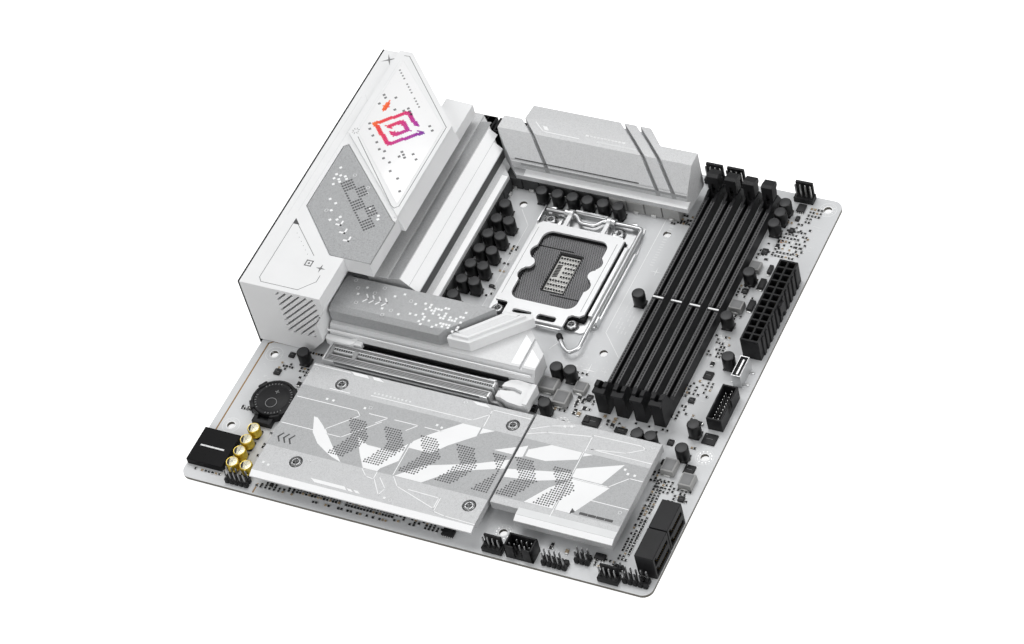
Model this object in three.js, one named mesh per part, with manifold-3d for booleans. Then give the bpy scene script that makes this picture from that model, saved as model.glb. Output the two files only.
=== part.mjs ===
// A microATX computer motherboard, as an assembly of separate named pieces.
// Millimetres. X runs along the bottom edge from the rear (connector) edge to the front edge,
// Y runs from the bottom edge to the top edge, Z rises out of the component side.
// Every piece is drawn in board coordinates: the origin is the bottom rear corner of the
// circuit board, on its underside. The outer group then moves the assembly so that its own
// origin is the middle of the bottom of its bounding box.
import * as THREE from "three";
import { mergeVertices } from "three/addons/utils/BufferGeometryUtils.js";
import Module from "manifold-3d";

const wasm = await Module();
wasm.setup();

// ---------------------------------------------------------------- driving dimensions

const BOARD = { size: 243.84, thick: 1.6, corner: 5 };
const TOP = BOARD.thick;
const MOUNT_HOLE_R = 1.98;
const MOUNT_PAD = { r: 4.6, thick: 0.1 };
const MOUNT_HOLES = [
  [10.16, 34.29],
  [10.16, 80.01],
  [165.1, 80.01],
  [237.49, 80.01],
  [165.1, 13.97],
  [237.49, 237.49],
  [165.1, 237.49],
  [33.02, 237.49],
];
const COOLER = { span: 78, holeR: 2 };
const SOCKET = { x: 128, y: 163.6 };
const ILM_SCREWS = [
  [-19.8, 31.1],
  [16.9, 31.1],
  [-21.4, -28.6],
  [18, -28.6],
];
const SCREW_BORE_R = 1.5;
const PLATE = { z0: 5.3, z1: 6.5, corner: 5 };
const LEVER = { y: 35.9, z: 5.2, wireR: 1.15, armX: 27.9, play: 0.25 };
const DIMM = { first: 182.2, pitch: 9.5, width: 5.9, top: 8.6, towerY: 91, bodyEnd: 224.7 };
const LATCH_PIVOT = { y: 231.5, z: 4.6, pinR: 0.9 };
const PCIE = { x0: 42.6, x1: 130.9, y: 81.7, width: 9.4, groove: 2.9, ear: 1.4, top: 12.4 };
const PCIE_PIVOT = { x: 133.6, z: 5 };
const M2_TOP = 11.9;
const PLATE_SCREWS = [
  [57.7, 16.8],
  [57.8, 65.2],
  [148.4, 17],
  [148.4, 65.5],
];
const SHIELD = { x0: -2, x1: -1.1, y0: 86.8, y1: 247.6, z1: 44.4 };
const SHROUD = { x0: -1, top: 44.4, wall: 1.6 };
const CARRIER = { x0: 37.6, x1: 147.4, y0: 91.6, y1: 119, z0: 7.6, z1: 16.8 };
const BAR = { x0: 37.8, y0: 96.7, y1: 118, z1: 26 };
const SIDE_SINK = { y0: 121.3, y1: 234 };
const TOP_SINK = { x0: 71, x1: 175.8, back: 232, far: 243, top: 30.8, groove: 1.5 };
// Each rear connector: name, its two ends along Y, its height and its depth.
const PORTS = [
  ["audio_jack_block", 90, 106, 16, 14],
  ["usb_stack_1", 110, 124.5, 30, 17],
  ["lan_usb_block", 128, 144.5, 31, 21],
  ["usb_stack_2", 148, 162.5, 30, 17],
  ["video_port_block", 184, 202, 22, 15],
  ["antenna_block", 206, 222, 16, 14],
];
const PORT_GAP = 0.25;
const BUTTONS = [
  ["firmware_button", 228.5],
  ["reset_settings_button", 236.5],
];
const BUTTON = { r: 1.9, z: 8.5, play: 0.3 };
const CELL = { pitch: 4.2, wall: 0.9, height: 13 };

const COLOUR = {
  board: 0xc9cbcc,
  white: 0xeeeeee,
  silver: 0xc4c6c8,
  steel: 0xb9bcc0,
  black: 0x1b1c1e,
  grey: 0x8f9295,
  gold: 0xc8a13a,
};

// ---------------------------------------------------------------- solids

function toSolid(geometry) {
  const bare = geometry.index ? geometry.toNonIndexed() : geometry.clone();
  bare.deleteAttribute("normal");
  bare.deleteAttribute("uv");
  const merged = mergeVertices(bare, 1e-4);
  return new wasm.Manifold(
    new wasm.Mesh({
      numProp: 3,
      vertProperties: merged.attributes.position.array,
      triVerts: new Uint32Array(merged.index.array),
    }),
  );
}

function toGeometry(solid) {
  const mesh = solid.getMesh();
  return new THREE.BufferGeometry()
    .setAttribute("position", new THREE.BufferAttribute(mesh.vertProperties, 3))
    .setIndex(new THREE.BufferAttribute(mesh.triVerts, 1));
}

const join = (...geometries) =>
  toGeometry(geometries.map(toSolid).reduce((sum, next) => sum.add(next)));

const cut = (body, ...tools) =>
  toGeometry(tools.map(toSolid).reduce((sum, tool) => sum.subtract(tool), toSolid(body)));

function box(x0, x1, y0, y1, z0, z1) {
  return new THREE.BoxGeometry(x1 - x0, y1 - y0, z1 - z0).translate(
    (x0 + x1) / 2,
    (y0 + y1) / 2,
    (z0 + z1) / 2,
  );
}

function shapeOf(points) {
  return new THREE.Shape(points.map(([u, v]) => new THREE.Vector2(u, v)));
}

function extrude(shape, depth, curveSegments = 6) {
  return new THREE.ExtrudeGeometry(shape, { depth, bevelEnabled: false, curveSegments });
}

// A plan outline raised from z0 to z1.
const plan = (points, z0, z1) => extrude(shapeOf(points), z1 - z0).translate(0, 0, z0);

// An outline in (y, z) drawn out along X from x0 to x1.
function alongX(points, x0, x1) {
  const turn = new THREE.Matrix4().makeBasis(
    new THREE.Vector3(0, 1, 0),
    new THREE.Vector3(0, 0, 1),
    new THREE.Vector3(1, 0, 0),
  );
  return extrude(shapeOf(points), x1 - x0).applyMatrix4(turn).translate(x0, 0, 0);
}

// An outline in (x, z) drawn out along Y from y0 to y1.
function alongY(points, y0, y1) {
  const turn = new THREE.Matrix4().makeBasis(
    new THREE.Vector3(1, 0, 0),
    new THREE.Vector3(0, 0, 1),
    new THREE.Vector3(0, -1, 0),
  );
  return extrude(shapeOf(points), y1 - y0).applyMatrix4(turn).translate(0, y1, 0);
}

function roundedRect(x0, x1, y0, y1, r) {
  const s = new THREE.Shape();
  s.moveTo(x0 + r, y0);
  s.lineTo(x1 - r, y0);
  s.absarc(x1 - r, y0 + r, r, -Math.PI / 2, 0);
  s.lineTo(x1, y1 - r);
  s.absarc(x1 - r, y1 - r, r, 0, Math.PI / 2);
  s.lineTo(x0 + r, y1);
  s.absarc(x0 + r, y1 - r, r, Math.PI / 2, Math.PI);
  s.lineTo(x0, y0 + r);
  s.absarc(x0 + r, y0 + r, r, Math.PI, Math.PI * 1.5);
  return s;
}

const roundedBox = (x0, x1, y0, y1, r, z0, z1, steps = 4) =>
  extrude(roundedRect(x0, x1, y0, y1, r), z1 - z0, steps).translate(0, 0, z0);

// Cylinders along the three axes, from one end coordinate to the other.
const post = (x, y, r, z0, z1, sides = 16) =>
  new THREE.CylinderGeometry(r, r, z1 - z0, sides)
    .rotateX(Math.PI / 2)
    .translate(x, y, (z0 + z1) / 2);

const barX = (y, z, r, x0, x1, sides = 14) =>
  new THREE.CylinderGeometry(r, r, x1 - x0, sides)
    .rotateZ(Math.PI / 2)
    .translate((x0 + x1) / 2, y, z);

const barY = (x, z, r, y0, y1, sides = 14) =>
  new THREE.CylinderGeometry(r, r, y1 - y0, sides).translate(x, (y0 + y1) / 2, z);

// A profile in (radius, z) turned round the Z axis.
const turned = (profile, sides) =>
  new THREE.LatheGeometry(shapeOf(profile).getPoints(), sides).rotateX(Math.PI / 2);

// A round wire along a list of points whose corners are rounded.
function wire(points, r, bend = 2.5, sides = 8) {
  const path = new THREE.CurvePath();
  const v = points.map((p) => new THREE.Vector3(...p));
  let from = v[0];
  for (let i = 1; i < v.length - 1; i++) {
    const inward = v[i].clone().sub(v[i - 1]).normalize();
    const outward = v[i + 1].clone().sub(v[i]).normalize();
    const start = v[i].clone().addScaledVector(inward, -bend);
    const end = v[i].clone().addScaledVector(outward, bend);
    path.add(new THREE.LineCurve3(from, start));
    path.add(new THREE.QuadraticBezierCurve3(start, v[i], end));
    from = end;
  }
  path.add(new THREE.LineCurve3(from, v[v.length - 1]));
  const section = new THREE.Shape();
  section.absarc(0, 0, r, 0, Math.PI * 2);
  return new THREE.ExtrudeGeometry(section, {
    steps: (v.length - 1) * 6,
    curveSegments: sides / 2,
    extrudePath: path,
    bevelEnabled: false,
  });
}

// ---------------------------------------------------------------- assembly tree

const board = new THREE.Group();
const finish = {
  board: { color: COLOUR.board, roughness: 0.5, metalness: 0 },
  shell: { color: COLOUR.white, roughness: 0.4, metalness: 0 },
  aluminium: { color: COLOUR.silver, roughness: 0.45, metalness: 0.9 },
  steel: { color: COLOUR.steel, roughness: 0.25, metalness: 1 },
  plastic: { color: COLOUR.black, roughness: 0.5, metalness: 0 },
  grey: { color: COLOUR.grey, roughness: 0.5, metalness: 0 },
  gold: { color: COLOUR.gold, roughness: 0.3, metalness: 1 },
};

function add(name, geometry, look, place = [0, 0, 0], parent = board) {
  const mesh = new THREE.Mesh(geometry, new THREE.MeshStandardMaterial(finish[look]));
  mesh.name = name;
  mesh.position.set(...place);
  parent.add(mesh);
  return mesh;
}

// ---------------------------------------------------------------- circuit board

const coolerHoles = [-0.5, 0.5].flatMap((i) =>
  [-0.5, 0.5].map((j) => [SOCKET.x + 0.17 + i * COOLER.span, SOCKET.y - 0.21 + j * COOLER.span]),
);
const ilmScrews = ILM_SCREWS.map(([x, y]) => [SOCKET.x + x, SOCKET.y + y]);

function pcb() {
  const outline = roundedRect(0, BOARD.size, 0, BOARD.size, BOARD.corner);
  const hole = (x, y, r) =>
    outline.holes.push(new THREE.Path().absarc(x, y, r, 0, Math.PI * 2, true));
  MOUNT_HOLES.forEach(([x, y]) => hole(x, y, MOUNT_HOLE_R));
  coolerHoles.forEach(([x, y]) => hole(x, y, COOLER.holeR));
  ilmScrews.forEach(([x, y]) => hole(x, y, 2.6));
  const sheet = extrude(outline, BOARD.thick, 6);
  // A thin bare-metal ring stands round each mounting hole on the underside.
  const rings = MOUNT_HOLES.map(([x, y]) => {
    const ring = new THREE.Shape().absarc(x, y, MOUNT_PAD.r, 0, Math.PI * 2);
    ring.holes.push(new THREE.Path().absarc(x, y, MOUNT_HOLE_R, 0, Math.PI * 2, true));
    return extrude(ring, MOUNT_PAD.thick + 0.4, 6).translate(0, 0, -MOUNT_PAD.thick);
  });
  return join(sheet, ...rings);
}
add("pcb", pcb(), "board");

// ---------------------------------------------------------------- processor socket

const socket = new THREE.Group();
socket.position.set(SOCKET.x, SOCKET.y, 0);
board.add(socket);

function backplate() {
  const outline = [
    [-30, -36], [30, -36], [37, -28], [37, 30], [30, 38], [-30, 38], [-37, 30], [-37, -28],
  ];
  const bosses = ILM_SCREWS.map(([x, y]) => post(x, y, 2.2, -1, 1.5, 12));
  const bores = ILM_SCREWS.map(([x, y]) => post(x, y, SCREW_BORE_R, -3, 2, 10));
  const plate = join(plan(outline, -2.2, -0.2), ...bosses);
  return cut(plate, box(-15, 15, -17, 19, -3, 0), ...bores);
}
add("socket_backplate", backplate(), "steel", [0, 0, 0], socket);

function contactBody() {
  return cut(
    box(-23, 23, -25.2, 26.4, TOP, 4.9),
    box(-19, 19, -22.8, 23.2, 3.6, 6),
    box(-5.6, 5.6, -11.8, 11.8, 2.2, 6),
  );
}
add("socket_contact_body", contactBody(), "plastic", [0, 0, 0], socket);

// The steel base frame: a flat sheet round the socket, with shaft eyes, side rails and a hook.
function baseFrame() {
  const sheet = [
    [-26.5, -31.6], [24, -31.6], [30.6, -26], [30.6, 24], [28, 38.6], [-25, 38.6], [-26.5, 36],
  ];
  const eye = (x) => join(
    barX(LEVER.y, LEVER.z, 2.3, x, x + 2),
    box(x, x + 2, LEVER.y - 1.8, LEVER.y + 1.8, 2, 4.6),
  );
  const solid = join(
    plan(sheet, TOP, 2.6),
    eye(-13.3),
    eye(11.6),
    box(-8.6, 8.4, 37.6, 38.6, 2, 6.2),
    alongY([[24, 2], [26.4, 2], [26.4, 4.2], [25.6, 4.8], [24, 4.8]], -22, 23),
    box(29.8, 30.6, -24, 21, 2, 4.2),
    box(29.8, 30.6, -26.4, -22.4, 2, 6.6),
  );
  return cut(
    solid,
    box(-23.6, 23.6, -25.7, 26.9, 0, 4),
    barX(LEVER.y, LEVER.z, LEVER.wireR + LEVER.play, -14, 14),
    ...ILM_SCREWS.map(([x, y]) => post(x, y, 1.6, 0, 4, 10)),
  );
}
add("socket_frame", baseFrame(), "steel", [0, 0, 0], socket);

// The window in the load plate: a rounded oblong with two lobes and a thumb tab on each side.
function plateWindow() {
  const z0 = PLATE.z0 - 1;
  const z1 = PLATE.z1 + 1;
  const oblong = roundedBox(-18, 16.8, -22.3, 22.4, PLATE.corner, z0, z1, 5);
  const lobes = [-15.6, 14.2].flatMap((x) => [-6.6, 8.4].map((y) => post(x, y, 4.4, z0, z1, 24)));
  const tab = (x, edge) => join(
    post(x, 0.8, 3.3, z0 - 1, z1 + 1, 24),
    box(Math.min(x, edge), Math.max(x, edge), -2.5, 4.1, z0 - 1, z1 + 1),
  );
  return cut(join(oblong, ...lobes), tab(-18, -24), tab(17.6, 24));
}

// The load plate turns on the lever's shaft: two tongues end in eyes round it.
function loadPlate() {
  const { z0, z1 } = PLATE;
  const outline = [
    [-23.4, -25.2], [-17.6, -25.2], [-16.6, -26.2], [-16.6, -33], [15.4, -33], [15.6, -26.4],
    [17, -25], [21, -25], [22.9, -23], [22.9, 25.4], [21.2, 27.2], [-21.6, 27.2], [-23.4, 25.4],
  ];
  const tongue = (x) => join(
    box(x, x + 2, 26, LEVER.y - 1.4, z0, z1),
    barX(LEVER.y, LEVER.z, 2.4, x, x + 2),
  );
  const skirts = join(
    box(22, 22.9, -21.5, 24, z1 - 1.2, z1),
    box(-23.4, -22.5, -24, 24, z1 - 1.2, z1),
    box(-1.5, 15.4, -33, -32.2, 3.4, z1),
  );
  return cut(
    join(plan(outline, z0, z1), skirts, tongue(-11.1), tongue(9.4)),
    plateWindow(),
    roundedBox(-12.5, -2.5, -30.8, -28.4, 0.9, 4, 8),
    roundedBox(0.7, 10.7, -31.8, -28.3, 1.2, 4, 8),
    barX(LEVER.y, LEVER.z, LEVER.wireR + LEVER.play, -18, 18),
  );
}
add("socket_load_plate", loadPlate(), "steel", [0, 0, 0], socket);

// One bent wire: shaft, crank, arm and hooked grip.
function lever() {
  const { y, z, armX } = LEVER;
  const bent = wire(
    [
      [-24, y, z], [-7, y, z], [-3.6, y - 4.4, z], [4, y - 4.4, z], [7.2, y, z],
      [armX, y, z], [armX, -34, z], [28.2, -42.4, z], [24.6, -46.2, z], [21, -44, z],
      [16.8, -39, z],
    ],
    LEVER.wireR,
    2,
  );
  const grip = new THREE.CylinderGeometry(1.5, 1.5, 3, 10)
    .rotateZ(Math.PI / 4)
    .translate(16.2, -38.2, z);
  return join(bent, grip);
}
add("socket_load_lever", lever(), "steel", [0, 0, 0], socket);

function ilmScrew() {
  const profile = [
    [0, -1.8], [1.3, -1.8], [1.3, 2.6], [3.1, 2.6], [3.1, 3.6], [2.5, 4.3],
    [1.4, 4.5], [1.4, 3.6], [0, 3.6],
  ];
  return turned(profile, 14);
}
ILM_SCREWS.forEach(([x, y], i) =>
  add("socket_screw_" + (i + 1), ilmScrew(), "steel", [x, y, 0], socket),
);

// ---------------------------------------------------------------- memory slots

// Each slot is drawn round x = 0. A fixed tower ends it below, two cheeks hold the latch above.
function dimmSlot() {
  const half = DIMM.width / 2;
  const { towerY, bodyEnd, top } = DIMM;
  const rail = box(-half, half, towerY + 4, bodyEnd, TOP, top);
  const tower = alongX(
    [
      [towerY, TOP], [towerY + 11, TOP], [towerY + 11, top], [towerY + 6.5, 17.4],
      [towerY + 5.2, 19.4], [towerY + 2, 19.4], [towerY + 1.6, 18.4], [towerY - 1.4, 18.4],
      [towerY - 1.4, 17], [towerY, 16.2],
    ],
    -half,
    half,
  );
  const cheekProfile = [
    [bodyEnd - 2, TOP], [237.4, TOP], [237.4, 3], [234.6, 8.8], [228, 9.6], [bodyEnd - 2, top],
  ];
  const cheeks = join(
    alongX(cheekProfile, -half, -1.75),
    alongX(cheekProfile, 1.75, half),
    box(-half, half, bodyEnd - 2, 237.4, TOP, 2.2),
  );
  const groove = cut(
    box(-0.85, 0.85, towerY + 3, bodyEnd + 9, 3.4, 30),
    box(-2, 2, 157.6, 159.4, 0, top),
  );
  return cut(
    join(rail, tower, cheeks),
    groove,
    box(-1.05, 1.05, towerY + 1.2, towerY + 8, 15.4, 30),
    barX(LATCH_PIVOT.y, LATCH_PIVOT.z, LATCH_PIVOT.pinR + 0.25, -4, 4, 12),
  );
}

// The latch is drawn with its pivot pin along X through the origin.
function dimmLatch() {
  const stem = alongX([[-3.6, -1.4], [2.6, -1.4], [3.2, 5], [-2.4, 5], [-3.6, 1]], -1.5, 1.5);
  const blade = alongX([[-2.6, 5.4], [2.6, 5.4], [2.9, 10.2], [-2.2, 10.2]], -2.8, 2.8);
  const neck = box(-1.5, 1.5, -1.5, 2.5, 4, 6);
  const headProfile = [[-2.4, 10], [3, 10], [3.9, 10.8], [3.9, 13], [-0.4, 14.2], [-2.2, 13.6]];
  const head = alongX(headProfile, -2.9, 2.9);
  const pin = barX(0, 0, LATCH_PIVOT.pinR, -2.9, 2.9, 12);
  return cut(join(stem, neck, blade, head, pin), box(-0.9, 0.9, -4, -1.3, 3, 9));
}

for (let i = 0; i < 4; i++) {
  const x = DIMM.first + i * DIMM.pitch;
  add("dimm_slot_" + (i + 1), dimmSlot(), "plastic", [x, 0, 0]);
  add("dimm_latch_" + (i + 1), dimmLatch(), "plastic", [x, LATCH_PIVOT.y, LATCH_PIVOT.z]);
}

// ---------------------------------------------------------------- expansion slot

function pcieBody() {
  const { x0, x1, y, width, top, ear } = PCIE;
  const half = width / 2;
  const gap = PCIE.groove / 2;
  const earProfile = [[x1 - 1, TOP], [136.4, TOP], [136.4, 7], [134, 9], [x1 - 1, 9]];
  const solid = join(
    box(x0, x1, y - half, y + half, TOP, top),
    alongY(earProfile, y - half, y - half + ear),
    alongY(earProfile, y + half - ear, y + half),
    box(x1 - 1, 136.4, y - half, y + half, TOP, 2.4),
  );
  const keyRib = box(55.3, 57.2, y - 2, y + 2, 0, 30);
  const groove = cut(box(x0 + 1.6, x1 + 5, y - gap, y + gap, 4.4, 20), keyRib);
  const latchRoom = box(x1 + 0.6, x1 + 8, y - half + ear, y + half - ear, 2.4, 20);
  const pinBore = barY(PCIE_PIVOT.x, PCIE_PIVOT.z, 1.15, y - 6, y + 6, 12);
  return cut(solid, groove, latchRoom, pinBore);
}
add("pcie_slot_body", pcieBody(), "plastic");

function pcieShell() {
  const { x0, x1, y, width } = PCIE;
  const half = width / 2;
  return cut(
    box(x0 - 0.7, x1 - 1.2, y - half - 0.7, y + half + 0.7, 2.4, 12.6),
    box(x0 - 0.15, x1 + 3, y - half - 0.15, y + half + 0.15, 0, 20),
    box(x0 + 10, x1 - 12, y - half - 3, y - half, 0, 5),
    box(x0 + 10, x1 - 12, y + half, y + half + 3, 0, 5),
  );
}
add("pcie_slot_shell", pcieShell(), "steel");

// The latch is drawn with its pivot pin along Y through the origin. Two claws reach over the slot.
function pcieLatch() {
  const stem = alongY([[-1.4, -1.6], [1.8, -1.6], [4.6, 1.6], [4.6, 5.6], [-1.4, 5.6]], -1.9, 1.9);
  const outline = [
    [-0.2, 3.9], [2.4, 4.1], [5.9, 4.5], [10.7, 3.3], [10.7, 1.2], [6.4, 2.5], [-0.1, 1.5],
    [0.4, -0.7], [2.4, -2.9], [6.4, -4.3], [13.4, -4.9], [16.2, -4.1], [16.2, 8.5], [5.4, 9.3],
    [2.6, 8.5], [0.4, 6.3],
  ];
  const claws = plan(outline, 4.4, 6.8);
  const body = plan([[3.6, -3.4], [13.4, -4.7], [16.2, -4], [16.2, 8.4], [5.4, 9], [3.6, 8.4]], 1.6, 4.6);
  const ridge = box(13.8, 16.2, -4, 8.4, 6.6, 7.6);
  const pin = barY(0, 0, 0.9, -4.4, 4.4, 12);
  return join(stem, claws, body, ridge, pin);
}
add("pcie_latch", pcieLatch(), "shell", [PCIE_PIVOT.x, PCIE.y, PCIE_PIVOT.z]);

// ---------------------------------------------------------------- upper storage-card cooler

// A carrier spans the card slot. A bar and a slanting release handle sit on it.
function m2UpperCarrier() {
  const { x0, x1, y0, y1, z0, z1 } = CARRIER;
  const outline = [[x0, y0], [x1, y0], [x1, 105], [134, 118.4], [116, y1], [x0, y1]];
  const slopeProfile = [[y0 - 1, z0 + 2], [y0 + 3.4, z1 + 0.1], [y0 - 1, z1 + 0.1]];
  const slope = alongX(slopeProfile, x0 - 1, x1 + 1);
  const body = cut(plan(outline, z0, z1), slope);
  const step = plan([[139.2, 90], [140.6, 90], [140.6, 112], [139.2, 113.4]], z1 - 1.2, z1 + 1);
  const footPlaces = [[42, 95], [42, 115], [143, 95], [128, 115]];
  const feet = footPlaces.map(([x, y]) => post(x, y, 2.4, TOP, z0 + 1, 12));
  return join(cut(body, step), ...feet);
}
add("m2_upper_carrier", m2UpperCarrier(), "shell");

function m2UpperBar() {
  const { x0, y0, y1, z1 } = BAR;
  const block = plan([[x0, y0], [97, y0], [118.2, y1], [x0, y1]], CARRIER.z1, z1);
  const bevel = alongX(
    [[y0 - 1, z1 - 2], [y0, z1 - 2], [y0 + 2.8, z1], [y0 + 2.8, z1 + 1], [y0 - 1, z1 + 1]],
    0,
    140,
  );
  return cut(block, bevel);
}
add("m2_upper_heatsink", m2UpperBar(), "aluminium");

function m2ReleaseHandle() {
  const z0 = CARRIER.z1;
  const outline = [[101.2, 97], [113, 97], [137, 119.6], [134.6, 121.6], [122.4, 119.6], [101.2, 99.4]];
  const top = [[103, 98.6], [112, 98.6], [133.6, 118.8], [122.8, 118.2]];
  return join(plan(outline, z0, z0 + 6.4), plan(top, z0 + 6, z0 + 8));
}
add("m2_release_handle", m2ReleaseHandle(), "shell");

function m2Socket() {
  const body = box(0, 9, -11, 11, TOP, 5.8);
  return cut(body, box(-1, 5.4, -10, 10, 3.4, 4.6));
}
add("m2_upper_socket", m2Socket(), "plastic", [48, 104.6, 0]);

// ---------------------------------------------------------------- lower cooling plates

function m2LowerPlate() {
  const plate = alongX(
    [[3.5, 10.6], [7.1, M2_TOP], [73.8, M2_TOP], [73.8, 8], [9, 8], [8, 10], [3.5, 10]],
    38.8,
    155.6,
  );
  const feet = PLATE_SCREWS.map(([x, y]) => post(x, y, 3.4, TOP, 9, 14));
  const bores = PLATE_SCREWS.map(([x, y]) => post(x, y, 1.5, 1, 20, 12));
  const seats = PLATE_SCREWS.map(([x, y]) => post(x, y, 3.3, M2_TOP - 1.5, 20, 16));
  return cut(join(plate, ...feet), ...bores, ...seats);
}
add("m2_lower_heatsink", m2LowerPlate(), "aluminium");

function plateScrew() {
  const z = M2_TOP;
  const profile = [
    [0, 3], [1.2, 3], [1.2, z - 1.5], [3, z - 1.5], [3, z - 0.2], [2.7, z + 0.2],
    [1.2, z + 0.2], [1.2, z - 0.8], [0, z - 0.8],
  ];
  return turned(profile, 14);
}
PLATE_SCREWS.forEach(([x, y], i) => add("m2_screw_" + (i + 1), plateScrew(), "steel", [x, y, 0]));

add("m2_lower_socket", m2Socket(), "plastic", [64, 41, 0]);

function chipset() {
  return join(box(-12.5, 12.5, -12, 12, TOP, 2.7), box(-5.5, 5.5, -4.5, 4.5, 2.5, 3.4));
}
add("chipset_package", chipset(), "plastic", [186, 46, 0]);

function chipsetHeatsink() {
  const profile = [[15.7, 10.6], [18.7, M2_TOP], [74.6, M2_TOP], [74.6, 7], [15.7, 7]];
  const plate = alongX(profile, 156.7, 220.4);
  const clear = box(150, 171, 10, 21.8, 0, 20);
  const core = box(178, 194, 38, 54, 3.7, 8);
  const footPlaces = [[176, 26], [212, 26], [176, 66], [212, 66]];
  const feet = footPlaces.map(([x, y]) => post(x, y, 2.4, TOP, 8, 12));
  return join(cut(plate, clear), core, ...feet);
}
add("chipset_heatsink", chipsetHeatsink(), "aluminium");

// ---------------------------------------------------------------- voltage regulator coolers

function sideHeatsink() {
  const profile = [
    [47, 8.4], [74.5, 8.4], [74.5, 9.2], [79.6, 9.2], [79.6, 11.8], [76.2, 12.2], [73.8, 14],
    [73.8, 19.6], [65.2, 27.6], [58.8, 26.4], [58.8, 25.6], [58.2, 25.6], [58.2, 26.2], [47, 26.2],
  ];
  const body = alongY(profile, SIDE_SINK.y0, SIDE_SINK.y1);
  const corner = plan([[56.5, 235], [90, 235], [90, 199.3]], 0, 40);
  const feet = [[52, 130], [52, 225]].map(([x, y]) => post(x, y, 2.6, TOP, 9, 12));
  return join(cut(body, corner), ...feet);
}
add("vrm_heatsink_side", sideHeatsink(), "aluminium");

function topHeatsink() {
  const { x0, x1, back, far, top, groove } = TOP_SINK;
  const profile = [
    [back, 9], [back, top], [223.8, top], [214.4, 20.1], [214.9, 19.8], [213.9, 19.2],
    [213.4, 15.4], [215.8, 14.2], [215.8, 12.9], [211.7, 11.9], [211.7, 9], [216.5, 9],
    [216.5, 8.4], [back - 1, 8.4],
  ];
  const body = alongX(profile, x0, x1);
  const extension = plan([[82.1, back - 1], [156.9, back - 1], [146, far], [82.1, far]], 20, top);
  const slopeProfile = [[back, top], [far + 2, top - 1.6], [far + 2, top + 1], [back, top + 1]];
  const slope = alongX(slopeProfile, 60, 180);
  const corner = plan([[70, 224.5], [70, 200], [94.5, 200]], 0, 40);
  // Diagonal grooves: each cutter is a thin wall at 45 degrees whose floor follows the face.
  const diagonal = (x) =>
    alongY([[-18, 25.6], [14, 25.6], [31, 12.6], [31, 60], [-18, 60]], -groove / 2, groove / 2)
      .rotateZ(-Math.PI / 4)
      .translate(x, 234, 0);
  const feet = [[100, 228], [150, 228]].map(([x, y]) => post(x, y, 2.6, TOP, 9, 12));
  const shell = cut(join(body, cut(extension, slope)), corner, ...[80, 139.7, 148.2].map(diagonal));
  return join(shell, ...feet);
}
add("vrm_heatsink_top", topHeatsink(), "aluminium");

// ---------------------------------------------------------------- rear connector block

function ioShield() {
  const { x0, x1, y0, y1, z1 } = SHIELD;
  const openings = PORTS.map(([, a, b, height]) =>
    box(x0 - 2, x1 + 2, a - PORT_GAP, b + PORT_GAP, TOP - PORT_GAP, TOP + height + PORT_GAP),
  );
  const bores = BUTTONS.map(([, y]) => barX(y, BUTTON.z, BUTTON.r + BUTTON.play, x0 - 2, x1 + 2, 14));
  return cut(box(x0, x1, y0, y1, -1, z1), ...openings, ...bores);
}
add("io_shield", ioShield(), "plastic");

function portBlock(width, height, depth) {
  const body = box(-1.9, depth, 0, width, TOP, TOP + height);
  const rows = Math.max(1, Math.round(height / 8.5));
  const step = height / rows;
  const mouths = Array.from({ length: rows }, (_, i) =>
    box(-3, 8, 1.6, width - 1.6, TOP + i * step + 1.4, TOP + (i + 1) * step - 1.2),
  );
  return cut(body, ...mouths);
}
PORTS.forEach(([name, a, b, height, depth]) =>
  add(name, portBlock(b - a, height, depth), "steel", [0, a, 0]),
);

// Push buttons: a cap through the shield and a wider shoulder behind it.
function pushButton() {
  const cap = barX(0, 0, BUTTON.r, -3, 2, 14);
  const shoulder = barX(0, 0, 2.6, -0.9, 1, 14);
  return join(cap, shoulder);
}
BUTTONS.forEach(([name, y]) => add(name, pushButton(), "grey", [0, y, BUTTON.z]));

// Slots at 45 degrees through the cover's front wall, trimmed to the wall's outline.
function ventSlots() {
  const window = { left: 18, wide: 39.6, narrow: 33.7, low: 13.4, high: 42.7, shoulder: 28 };
  const spacing = 3.73;
  const halfWidth = 0.45;
  return Array.from({ length: 12 }, (_, i) => {
    const rise = 22.3 - i * spacing;
    const limit = window.wide + rise > window.shoulder ? window.wide : window.narrow;
    const from = Math.max(window.left, window.low - rise);
    const to = Math.min(limit, window.high - rise);
    const length = (to - from) * Math.SQRT2;
    return box(0, length, SHIELD.y0 - 1, SHIELD.y0 + 3, -halfWidth, halfWidth)
      .rotateY(-Math.PI / 4)
      .translate(from, 0, from + rise);
  });
}

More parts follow.
